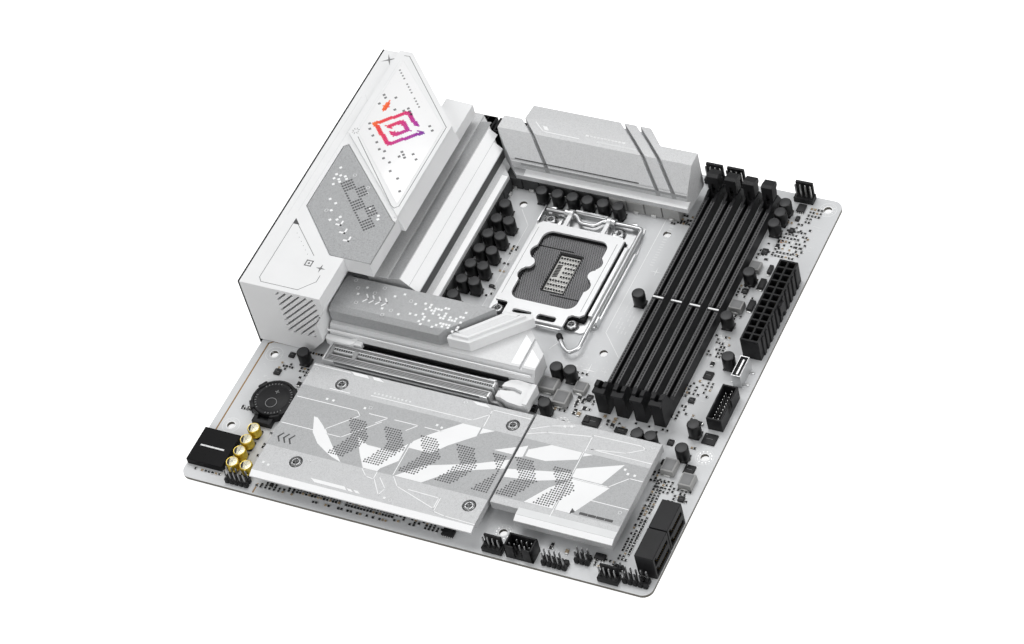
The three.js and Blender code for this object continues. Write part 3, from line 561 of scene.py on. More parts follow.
def capacitor_shapes(radius, height):
    """A can with a crimp groove, and the flat lid in its rim."""
    z = height
    can = [
        (0, 0.6), (radius * 0.9, 0.6), (radius, 0.8), (radius, 1.5), (radius * 0.93, 1.75), (radius, 2.0),
        (radius, z - 0.5), (radius * 0.96, z - 0.15), (radius * 0.9, z), (radius * 0.84, z - 0.05),
    ]
    body = can + [(0, z - 0.06)]
    lid = [(0, z - 0.12), (radius * 0.83, z - 0.12), (radius * 0.83, z)]
    lid += [(radius * 0.8, z + 0.03), (0, z + 0.03)]
    return lathe(body, 32), lathe(lid, 32)


def capacitors():
    black = Piece("capacitors", SLEEVE)
    body, lid = capacitor_shapes(3.2, 8.4)
    base = slab(5.6, 5.6, 0, 0.7, 0.4)
    lead = slab(0.9, 1.6, 0, 0.25)
    places = [(91.2, y) for y in (184, 173.7, 163.7, 153.5, 143.2)]
    places += [(84.5, y) for y in (194, 184, 173.7, 163.7, 153.5, 143.2, 133)]
    places += [(x, 206.7) for x in (98.8, 107.4, 115.7, 123.8, 132.2, 140.4)]
    places += [(219.1, 230), (219.1, 223.6), (218.7, 216.3), (218.7, 184.1), (218.6, 155.7), (228.7, 132.8)]
    places += [(228.6, 90.8), (228.6, 76.6), (172.3, 157.5), (205.4, 78.7), (212, 79)]
    places += [(152.4, 105), (159.6, 105), (156, 83.5), (28.5, 79.5)]
    for x, y in places:
        at = (x, y, TOP)
        black.add(base, BLACK, at).add(body, SLEEVE, at).add(lid, CAN_TOP, at)
        for side in (-2.9, 2.9):
            black.add(lead, TIN, (x + side, y, TOP))
    black.put()
    gold = Piece("sound_capacitors", CAN_GOLD)
    high = 5.6
    body, lid = capacitor_shapes(3.15, high)
    vent = slab(4.4, 0.16, 0, 0.05)
    mark = prism([around(0, 0, 2.5, a) for a in range(-60, 61, 12)], 0, 0.06)
    for x, y in ((25.1, 32.4), (24.9, 25.2), (24.9, 18.2), (24.6, 11.2), (32.1, 11.2)):
        at = (x, y, TOP)
        gold.add(base, BLACK, at).add(body, CAN_GOLD, at).add(lid, CAN_SILVER, at)
        for turn in (30, 90, 150):
            gold.add(vent, INK_MID, (x, y, TOP + high), turn)
        gold.add(mark, CHIP, (x, y, TOP + high + 0.02), 200)
    gold.put()


def chokes():
    upper = Piece("power_inductors_upper", INDUCTOR)
    body = slab(9.1, 8.6, 0.3, 7.6, 0.5)
    foot = slab(2.6, 0.9, 0, 2.2, 0.15)
    for i in range(10):
        x = 80.7 + 9.5 * i
        upper.add(body, CHOKE if i < 6 else INDUCTOR, (x, 215.4, TOP))
        for side in (-1, 1):
            upper.add(foot, TIN, (x, 215.4 + side * 4.5, TOP))
    upper.put()
    side_bank = Piece("power_inductors_side", CHOKE)
    for i in range(9):
        y = 130 + 9.5 * i
        side_bank.add(body, CHOKE, (75.9, y, TOP), 90)
        for side in (-1, 1):
            side_bank.add(foot, TIN, (75.9 + side * 4.5, y, TOP), 90)
    side_bank.put()
    small = Piece("filter_inductors", INDUCTOR)
    places = [
        (217.5, 193, 6, 6), (218.5, 167, 7, 6), (151, 98, 9, 8), (160, 92, 8, 8.6), (166, 101, 6.5, 6.5),
        (225, 69, 7, 8.5), (236, 63.5, 7, 8),
    ]
    for x, y, w, d in places:
        high = 3.8 if w > 6.6 else 2.8
        small.add(slab(w, d, 0.2, high, 0.45, 0.93), INDUCTOR, (x, y, TOP))
        small.add(slab(w * 0.72, d * 0.72, high, high + 0.12, 0.05), INK_MID, (x, y, TOP))
        for side in (-1, 1):
            small.add(slab(w * 0.5, 0.7, 0, 1.2, 0.1), TIN, (x, y + side * (d / 2 + 0.05), TOP))
    small.put()


# ---------------------------------------------------------------- chips and small parts

def chips():
    """Flat packages with hidden pads or with leads, a pin-one dot and a marking line."""
    piece = Piece("chips", CHIP)
    flat = [
        (225.5, 228, 2, 3), (225.5, 220, 2.4, 3), (218, 204, 3, 3.5), (218, 178, 3, 3), (218, 170, 3, 3),
        (221, 125, 4.3, 4.5), (219, 109, 3, 3), (236, 90, 6.5, 6), (178.5, 84.5, 8.3, 5.5), (194, 83.3, 6, 3),
        (148.5, 84, 4.5, 4), (219.2, 83.3, 3, 3), (221, 71.8, 3, 3), (233.7, 71, 5, 5), (236.5, 54.5, 3, 3),
        (17.3, 70, 3.3, 3.3), (19.5, 81.5, 3, 3), (172, 97, 3, 3.6), (151, 90.5, 5, 2.6),
        (96.8, 148.4, 2.6, 1.6),
    ]
    dot = ring(0, 0.22, 1.0, 1.03, 12)
    for x, y, w, d in flat:
        at = (x, y, TOP)
        piece.add(slab(w + 0.3, d + 0.3, 0, 0.2), TIN, at).add(slab(w, d, 0.1, 1.0, 0.12), CHIP, at)
        piece.add(dot, INK_MID, (x - w * 0.33, y + d * 0.33, TOP))
        piece.add(slab(w * 0.5, 0.16, 1.0, 1.03), INK_MID, at)
    foot = block(-0.2, 0.2, 0, 0.9, 0, 0.25, 0.05)
    knee = block(-0.2, 0.2, 0, 0.3, 0.2, 0.9, 0.05)
    leaded = [(225, 234.5, 4, 5, 4), (214, 13.8, 5.2, 3.2, 4), (176, 84.5, 3, 3, 3), (141, 6, 6, 4, 6)]
    for x, y, w, d, count in leaded:
        piece.add(slab(w, d, 0.2, 1.5, 0.15), CHIP, (x, y, TOP))
        for side, turn in ((-1, 180), (1, 0)):
            for i in range(count):
                at = (x + (i - (count - 1) / 2) * w / count, y + side * d / 2, TOP)
                piece.add(foot, TIN, at, turn).add(knee, TIN, at, turn)
    piece.put()


def passive(piece, x, y, turn, size, body):
    """A chip resistor or capacitor: a body between two soldered end caps."""
    long, wide, high = size
    piece.add(slab(long * 0.76, wide, 0.02, high, 0.05), body, (x, y, TOP), turn)
    cap = slab(long * 0.14, wide * 1.04, 0, high * 0.9, 0.05)
    for side in (-1, 1):
        piece.add(cap, TIN, (*around(x, y, side * long * 0.43, turn), TOP), turn)


# Where the chip parts stand: the limits of a field along X and Y, its columns and rows, the share filled.
PASSIVE_FIELDS = [
    (221, 235, 202, 226, 8, 10, 0.6), (229, 236, 226, 237, 4, 5, 0.7), (214.5, 221.5, 196.5, 203, 4, 3, 0.5),
    (214.5, 223, 198.5, 213, 4, 6, 0.4), (214.5, 224, 136, 150, 6, 7, 0.5), (215, 226, 112, 122, 5, 5, 0.5),
    (212.5, 216, 110, 118, 2, 4, 0.9), (215, 224, 96, 106, 5, 5, 0.5), (216, 223, 160, 163.5, 3, 2, 0.7),
    (214, 224, 174, 182, 5, 4, 0.45), (143, 172, 86, 89.5, 12, 2, 0.7), (166, 176, 90, 98.5, 4, 5, 0.7),
    (182, 204, 84, 90, 8, 3, 0.5), (152, 166, 107.5, 111, 6, 2, 0.6), (198, 216, 86, 90.5, 8, 2, 0.4),
    (214, 221.5, 60, 68, 4, 5, 0.5), (221.2, 226.4, 15, 62, 3, 29, 0.9), (212, 222, 8.5, 14, 5, 4, 0.5),
    (5, 20, 5, 6.4, 8, 1, 0.8), (38.5, 60, 4.4, 8.6, 9, 3, 0.7), (60, 110, 3.6, 4.6, 30, 1, 0.5),
    (5, 14, 8.4, 9.4, 4, 1, 0.9), (60, 84, 6.2, 9.4, 15, 2, 1.0), (86, 112, 6.0, 9.6, 16, 2, 1.0),
    (112, 140, 4.8, 9.2, 14, 3, 0.75), (31, 36.4, 17, 36, 3, 11, 0.5), (16, 24, 72, 77, 5, 3, 0.6),
    (27, 36, 69, 76.5, 5, 4, 0.45), (24, 36, 85, 86.2, 8, 1, 0.9), (10, 15.6, 44.5, 47, 4, 2, 0.8),
    (95.5, 99.6, 140, 176, 2, 22, 0.4), (166, 176, 209, 216.5, 7, 6, 0.6), (229, 236, 203, 222, 4, 9, 0.3),
    (230, 240, 51, 60, 5, 5, 0.6), (222, 230, 55, 63, 4, 4, 0.7), (186, 202, 11.5, 15, 6, 2, 0.45),
    (226, 232, 80, 84, 4, 3, 0.5),
]
PASSIVE_SIZES = [(1.4, 0.9, 0.5), (1.5, 1.0, 0.55), (2.0, 1.3, 0.75), (2.6, 1.6, 0.95)]
ROOM_FOR_LARGE = 2.4  # the pitch along X from which the larger sizes are drawn too


def field_spots(x0, x1, y0, y1, columns, rows):
    """The middle of each cell of a field."""
    dx = (x1 - x0) / columns
    dy = (y1 - y0) / rows
    return [(x, y) for _, _, x, y in grid(x0 + dx / 2, y0 + dy / 2, columns, rows, dx, dy)]


def passives():
    piece = Piece("chip_parts", CHIP)
    draw = random.Random(11)
    for *field, share in PASSIVE_FIELDS:
        x0, x1, _, _, columns, _ = field
        sizes = PASSIVE_SIZES if columns * ROOM_FOR_LARGE < x1 - x0 else PASSIVE_SIZES[:2]
        for x, y in field_spots(*field):
            if draw.random() <= share:
                size = draw.choice(sizes)
                body = draw.choice([CHIP] * 6 + [CERAMIC])
                passive(piece, x, y, draw.choice([0, 0, 90]), size, body)
    large = (3.0, 1.6, 1.1)
    for x, y in ((222.5, 208.8), (213, 98), (228, 97.5), (220, 132), (19, 45), (31.3, 66), (47, 7), (36, 23)):
        passive(piece, x, y, draw.choice([0, 90]), large, CHIP)
    for x0, y0, x1, y1 in ((224, 191, 226, 196), (223, 181, 226, 187), (223, 167, 226, 173)):
        piece.add(block(x0, x1, y0, y1, TOP, TOP + 1.9, 0.25), CHIP)
        piece.add(block(x0 + 0.4, x1 - 0.4, y0 - 0.8, y0, TOP, TOP + 0.6, 0.1), TIN)
    piece.put()


# ---------------------------------------------------------------- pins and headers

def add_pin(piece, height, material, at):
    """A square post with a pointed tip."""
    piece.add(slab(PIN_WIDTH, PIN_WIDTH, 0, height - 0.5), material, at)
    piece.add(slab(PIN_WIDTH, PIN_WIDTH, height - 0.5, height, 0, 0.45), material, at)


def bare_header(piece, x, y, columns, rows, height=8.4, missing=None):
    """Rows of bare posts in moulded octagonal feet. One foot can be left without its post."""
    half = 1.22
    cut = 0.77
    foot = [(cut, -half), (half, -cut), (half, cut), (cut, half)]
    foot = [(-cut, -half)] + foot + [(-cut, half), (-half, cut), (-half, -cut)]
    for i, j, px, py in grid(x, y, columns, rows, PIN_PITCH, PIN_PITCH):
        at = (px, py, TOP)
        piece.add(prism(foot, 0, 2.4, 0.12), BLACK, at)
        if (i, j) != missing:
            add_pin(piece, height, SCREW_STEEL, at)


def wall_header(piece, x, y, pins=4, long=10.0):
    """A fan header: a low base, a back wall and a row of posts."""
    piece.add(block(x, x + long, y, y + 5, TOP, TOP + 3.0, 0.25), BLACK)
    piece.add(block(x + 0.6, x + long - 0.6, y + 3.9, y + 5, TOP, TOP + 8.2, 0.25), BLACK)
    first = (long - (pins - 1) * PIN_PITCH) / 2
    for i in range(pins):
        add_pin(piece, 9.4, SCREW_STEEL, (x + first + PIN_PITCH * i, y + 1.9, TOP))


def walled_box(piece, x0, x1, y0, y1, height, wall=0.9, gap=4.4):
    """The open box round a shrouded header, with a gap in its lower wall."""
    middle = (x0 + x1) / 2
    parts = [
        (x0, x1, y1 - wall, y1), (x0, x0 + wall, y0, y1), (x1 - wall, x1, y0, y1),
        (x0, middle - gap / 2, y0, y0 + wall), (middle + gap / 2, x1, y0, y0 + wall),
    ]
    piece.add(block(x0 + 0.1, x1 - 0.1, y0 + 0.1, y1 - 0.1, TOP, TOP + 1.6), BLACK)
    for limits in parts:
        piece.add(block(*limits, TOP, TOP + height, 0.2), BLACK)


def headers():
    piece = Piece("pin_headers", BLACK)
    bare_header(piece, 25, 3.4, 5, 2, missing=(3, 1))
    wall_header(piece, 160, 1.4)
    wall_header(piece, 217.8, 1.4)
    walled_box(piece, 172.2, 186, 1.8, 9.8, 8.6)
    for i, j, x, y in grid(174.0, 4.5, 5, 2, PIN_PITCH, PIN_PITCH):
        if (i, j) != (0, 1):
            add_pin(piece, 8.0, SCREW_STEEL, (x, y, TOP))
    bare_header(piece, 190.6, 3.4, 5, 2, missing=(4, 1))
    bare_header(piece, 204.6, 8.9, 3, 2, height=8.0)
    bare_header(piece, 230.0, 5.0, 5, 2, missing=(4, 0))
    bare_header(piece, 223.4, 10.4, 2, 1, height=6.0)
    piece.put()
    posts = Piece("header_posts", TIN)
    for x0 in (219.4, 172.2, 183.4):
        for i in range(4):
            add_pin(posts, 11.0, TIN, (x0 + 1.2 + PIN_PITCH * i, 240.4, TOP))
    post = slab(0.42, 0.42, 1.7, 6.2, 0.1)
    for j in range(10):
        for i in range(2):
            if (i, j) != (0, 9):
                posts.add(post, TIN, (235.2 + 2.4 * i, 98.2 + 1.9 * j, TOP))
    posts.put()


def power_contacts():
    """Blade contacts down in each cell, and the ribs on the large socket's outer wall."""
    piece = Piece("power_contacts", GOLD)
    cell = slab(0.9, 0.9, 2.9, 9.5, 0.2)
    for x0, y0, columns, rows in POWER_SOCKETS:
        for _, _, x, y in grid(x0 + 2.55, y0 + 2.55, columns, rows, CELL_PITCH, CELL_PITCH):
            piece.add(cell, GOLD, (x, y, TOP))
    piece.put()
    ribs = Piece("power_socket_ribs", BLACK)
    for j in range(11):
        y = 140.8 + CELL_PITCH * (j + 1)
        ribs.add(block(241.35, 242.1, y - 1.1, y + 1.1, TOP, TOP + 12.2, 0.3), BLACK)
    ribs.put()


# ---------------------------------------------------------------- processor socket

def contact_field():
    """Springy contacts in slanted ranks over the socket floor, round the open middle."""
    piece = Piece("socket_contacts", CONTACT)
    sx, sy = SOCKET
    blade = block(-0.52, 0.52, -0.15, 0.15, 0, 0.22)
    slant = Matrix.Rotation(math.radians(-28.6), 4, "Z") @ Matrix.Rotation(math.radians(9), 4, "Y")
    pitch = 0.98
    row_pitch = pitch * 0.82
    for j in range(int(44.6 / row_pitch)):
        y = -22.0 + j * row_pitch
        for i in range(38):
            x = -18.2 + pitch * (i + 0.5 * (j % 2))
            inside = abs(x) < 6.4 and abs(y) < 12.6
            break_line = abs(y - 14.5) < 0.4 and x < 0 or abs(y + 14.3) < 0.4 and x > 0
            if not (x > 18.4 or inside or break_line):
                piece.add(blade, CONTACT, (sx + x, sy + y, 3.6), matrix=slant)
    piece.put()
    inner = Piece("socket_cavity_parts", BEIGE)
    floor = 2.5
    inner.add(block(sx - 5.5, sx + 5.5, sy - 11.7, sy + 11.7, 2.2, floor, 0.05), BEIGE)
    part = slab(0.78, 1.75, 0, 0.5, 0.06)
    cap = slab(0.82, 0.3, 0, 0.52, 0.04)
    bar = slab(2.6, 0.42, 0, 0.4, 0.05)
    for j in range(8):
        for i in range(3 if 2 < j < 6 else 0, 7):
            x = sx - 4.4 + 1.46 * i
            y = sy - 10.0 + 2.85 * j
            inner.add(part, CHIP, (x, y, floor))
            for side in (-0.85, 0.85):
                inner.add(cap, TIN, (x, y + side, floor))
    for j in range(8):
        inner.add(bar, CHIP, (sx - 3.4, sy - 1.6 + j, floor), 12)
    inner.put()


def load_lever():
    sx, sy = SOCKET
    y, z, arm = 35.9, 5.2, 27.9
    points = [
        (-24, y, z), (-7, y, z), (-3.6, y - 4.4, z), (4, y - 4.4, z), (7.2, y, z), (arm, y, z),
        (arm, -34, z), (28.2, -42.4, z), (24.6, -46.2, z), (21, -44, z), (16.8, -39, z),
    ]
    piece = Piece("load_lever", STEEL, "socket_load_lever", ["socket_load_lever"])
    path = rounded_path([(sx + a, sy + b, c) for a, b, c in points], 2.0, 8)
    piece.add(tube(path, 1.04, 18))
    grip = rounded_path([(sx + 17.6, sy - 39.8, z), (sx + 15.2, sy - 37.0, z)], 0)
    piece.add(tube(grip, 1.5, 20), BLACK)
    piece.put()


def load_plate_fold_shade():
    """Grey lines of painted shade along the pressed folds at the sides of the load plate, and the lip under
    its free edge.
    """
    sx, sy = SOCKET
    piece = Piece("load_plate_fold_shade", SATIN_STEEL, "socket_load_plate")
    plate_top = 6.5
    for x, y0, y1 in ((20.4, -22, 22.5), (-22.2, -21, 23)):
        lines(piece, [[(sx + x, sy + y0), (sx + x, sy + y1)]], plate_top, 0.22, INK_MID)
    lip = [(-1, -33.1), (15, -33.1), (14, -34.3), (0.4, -34.3)]
    piece.add(prism([(sx + x, sy + y) for x, y in lip], 4.0, 5.0, 0.3), STEEL)
    piece.put()


def socket_hardware():
    """Folded ears and pressed ribs on the socket's base frame, and its four screws."""
    sx, sy = SOCKET
    piece = Piece("socket_fittings", STEEL)
    ears = [(x, x + 3.4, 37.1, 38.4, 5.6, 0.3) for x in (-22.5, 21.4)]
    ears += [(-25.4, -24.4, 27, 38, 6.2, 0.3), (-8.2, 8.0, 37.1, 37.7, 5.4, 0.2)]
    ears += [(x, x + 2.0, 28.6, 33, 4.4, 0.4) for x in (-15.4, 14.4)]
    ears += [(26.5, 29.7, -27.6, -26.6, 3.9, 0.2)]
    for x0, x1, y0, y1, high, width in ears:
        piece.add(block(sx + x0, sx + x1, sy + y0, sy + y1, 2.5, high, width), STEEL)
    washer = ring(3.15, 3.7, 2.55, 2.9, 32)
    for x, y in FRAME_SCREWS:
        piece.add(washer, STEEL_DARK, (sx + x, sy + y, 0))
    piece.put()
    for i, (x, y) in enumerate(FRAME_SCREWS):
        screw_head("frame_screw_%d" % (i + 1), "socket_screw_%d" % (i + 1), sx + x, sy + y, 2.62, 1.85)


def screw_head(name, node, x, y, z, high, shaft=1.25, depth=-1.7):
    """A pan-head screw with a crossed drive, on its shaft."""
    piece = Piece(name, STEEL, "root", [node])
    at = (x, y, 0)
    radius = 3.0
    top = z + high
    waist = z + high * 0.72
    stem = [(0, depth), (shaft * 0.8, depth), (shaft, depth + 0.3), (shaft, z), (0, z)]
    piece.add(lathe(stem, 24), STEEL, at)
    skirt = [(0, z), (radius * 0.97, z), (radius, z + 0.15), (radius, z + high * 0.5)]
    piece.add(lathe(skirt + [(radius * 0.9, waist), (0, waist)], 36), STEEL_DARK, at)
    dome = [(radius * 0.46, top - 0.5), (radius * 0.86, z + high * 0.73), (radius * 0.76, top - 0.12)]
    dome += [(radius * 0.6, top), (radius * 0.5, top - 0.05)]
    piece.add(lathe(dome, 36), SCREW_STEEL, at)
    piece.add(ring(0, radius * 0.5, top - 0.7, top - 0.5, 24), STEEL_DARK, at)
    arm = slab(radius * 1.36, 0.34, top - 0.52, top + 0.02, 0.05)
    for turn in (20, 110):
        piece.add(arm, STEEL_DARK, at, turn)
    piece.add(lathe([(0, top - 0.5), (0.4, top - 0.5), (0.32, top - 0.05), (0, top)], 12), SCREW_STEEL, at)
    piece.put()


# ---------------------------------------------------------------- memory and card slots

def memory_slots():
    """Pale key bars, rail edges and ribs in grey as painted highlights on the black rails, and two ranks of
    contacts in each groove.
    """
    keys = Piece("memory_slot_keys", INK_WHITE)
    rails = Piece("memory_slot_rails", RAIL_HIGHLIGHT)
    contacts = Piece("memory_slot_contacts", CONTACT)
    rib = slab(0.5, 0.36, 0, 0.14)
    blade = slab(0.12, 0.42, 0, 1.6)
    pitch = 0.85
    for x in DIMM_X:
        keys.add(block(x - 2.7, x + 2.7, 158.1, 158.9, 6.2, 9.0, 0.12), INK_WHITE)
        for y0, y1 in ((104.2, 157.0), (160.2, 222.4)):
            for side in (-1, 1):
                for inner, outer, high in ((1.15, 1.5, 8.78), (2.4, 2.85, 8.72)):
                    near, far = sorted((x + side * inner, x + side * outer))
                    rails.add(block(near, far, y0, y1, 8.5, high, 0.06), RAIL_HIGHLIGHT)
                for k in range(int((y1 - y0) / pitch)):
                    y = y0 + 0.5 + pitch * k
                    contacts.add(blade, CONTACT, (x + side * 0.78, y, 4.2))
                    if k % 2:
                        rails.add(rib, RAIL_HIGHLIGHT, (x + side * 1.95, y, 8.6))
    keys.put()
    rails.put()
    contacts.put()


def card_slot():
    """Contacts in the groove, toothed lips beside it, and the folded armour round the slot."""
    contacts = Piece("card_slot_contacts", TIN)
    ribs = Piece("card_slot_ribs", SLOT_GREY)
    contact = slab(0.46, 0.12, 0, 4.4)
    tooth = slab(0.66, 1.0, 0, 0.1)
    tooth_pitch = 1.25
    for x0, x1 in ((44.4, 55.1), (57.4, 130.2)):
        for side in (-1, 1):
            near, far = sorted((SLOT_Y + side * 1.42, SLOT_Y + side * 1.1))
            # The groove walls are pale: a painted highlight where they catch the light.
            ribs.add(block(x0, x1, near, far, 6.5, 12.2, 0.05), INK_PALE)
            for k in range(int(x1 - x0)):
                contacts.add(contact, TIN, (x0 + 0.5 + k, SLOT_Y + side * 1.02, 6.8))
        for k in range(int((x1 - x0) / tooth_pitch)):
            ribs.add(tooth, BLACK, (x0 + 0.6 + tooth_pitch * k, SLOT_Y + 2.1, SLOT_TOP))
        ribs.add(block(x0, x1, SLOT_Y + 2.75, SLOT_Y + 3.15, SLOT_TOP, SLOT_TOP + 0.16, 0.05), INK_PALE)
    contacts.put()
    ribs.put()
    trim = Piece("card_slot_trim", SLOT_GREY)
    for offset in (3.6, 4.25, -2.2, -3.0, -3.8):
        y = SLOT_Y + offset
        trim.add(block(43.6, 130.0, y - 0.13, y + 0.13, SLOT_TOP, SLOT_TOP + 0.08), CHARCOAL)
    for side in (-1, 1):
        near, far = sorted((SLOT_Y + side * 5.36, SLOT_Y + side * 5.7))
        trim.add(block(47.4, 126.4, near, far, 9.6, 10.4, 0.1), SATIN_STEEL)
        trim.add(block(47.4, 126.4, near, far, 5.0, 6.2, 0.1), CHARCOAL)
        for x0, x1 in ((41.8, 47.6), (126.2, 130.0)):
            trim.add(block(x0, x1, near, far, 3.0, 12.7, 0.12), SATIN_STEEL)
    trim.add(block(41.6, 42.05, SLOT_Y - 5.7, SLOT_Y + 5.7, 3.0, 12.8, 0.15), SATIN_STEEL)
    for y in (SLOT_Y - 4.6, SLOT_Y + 1.6):
        trim.add(block(129.4, 130.2, y, y + 3.0, SLOT_TOP, 12.7, 0.1), SATIN_STEEL)
    trim.put()
    # Painted shade on the carrier's front face and on the board under it, and a painted highlight along its
    # upper ledge.
    recess = Piece("carrier_painted_shade", CHARCOAL)
    recess.add(block(38.4, 134, 91.05, 91.5, 7.7, 11.2, 0.1), CHARCOAL)
    recess.add(block(54.0, 131, 87.2, 91.4, TOP, 2.6, 0.2), BLACK)
    recess.add(block(37.8, 146.6, 91.1, 91.5, 15.2, 16.7, 0.1), PAINTED_HIGHLIGHT)
    recess.put()


# ---------------------------------------------------------------- battery

def coin_cell():
    """The cell with its crimped rim, a plus mark and a broken ring, and the holder's four clips."""
    piece = Piece("battery_cell", BLACK, "root", ["coin_cell"])
    x, y = BATTERY
    profile = [
        (0, 2.7), (9, 2.7), (9.3, 3.0), (9.3, 3.2), (9.95, 3.4), (10, 3.6), (10, 5.4), (9.85, 5.75),
        (9.6, 5.9), (8.3, 5.92), (8.1, 5.82), (7.9, 5.92), (0, 5.92),
    ]
    piece.add(lathe(profile, 64), BLACK, (x, y, 0))
    for turn in (0, 90):
        piece.add(slab(2.2, 0.42, 5.9, 6.0, 0.03), INK_MID, (x, y + 4.2, 0), turn)
    dash = slab(0.9, 0.3, 5.88, 5.96, 0.02)
    for k in range(36):
        if k % 9 <= 5:
            piece.add(dash, INK_MID, (*around(x, y, 8.9, 10 * k), 0), 10 * k)
    piece.add(ring(2.6, 2.9, 5.9, 5.97, 36), INK_MID, (x, y - 2.6, 0))
    piece.put()
    clips = Piece("battery_clip", BLACK)
    clip = slab(2.2, 5.0, TOP, 6.4, 0.5)
    for turn in (35, 145, 215, 325):
        clips.add(clip, BLACK, (*around(x, y, 10.7, turn), 0), turn)
    clips.put()


# ---------------------------------------------------------------- printed patterns

def lines(piece, paths, z, width, material):
    for path in paths:
        for shape in stroke(path, z, width):
            piece.add(shape, material)


def squares(piece, places, z, size, material, turn=0.0):
    half = size / 2
    square = sheet(-half, half, -half, half, 0)
    for x, y in places:
        piece.add(square, material, (x, y, z), turn)


def hollow_squares(piece, places, z, size, material):
    half = size / 2
    ring = [(-half, -half), (half, -half), (half, half), (-half, half), (-half, -half)]
    for x, y in places:
        lines(piece, [[(x + a, y + b) for a, b in ring]], z, size * 0.18, material)


def dotted_chevrons(piece, x0, x1, y0, y1, z):
    """A halftone of small squares that fill a run of arrowheads pointing along +X."""
    pitch = 1.25
    period = 19
    band = 9.2
    middle = (y0 + y1) / 2
    dots = grid(x0, y0, int((x1 - x0) / pitch), int((y1 - y0) / pitch), pitch, pitch)
    places = [(x, y) for _, _, x, y in dots if (x - x0 - 6 + 0.62 * abs(y - middle)) % period < band]
    squares(piece, places, z, 0.78, INK_GREY)


def strip_along_x(a, b, x0, x1):
    """A patch between two lines along X, each given by its Y and Z."""
    return film([(x0, *a), (x1, *a), (x1, *b), (x0, *b)])


def strip_along_y(a, b, y0, y1):
    """A patch between two lines along Y, each given by its X and Z."""
    return film([(a[0], y0, a[1]), (b[0], y0, b[1]), (b[0], y1, b[1]), (a[0], y1, a[1])])


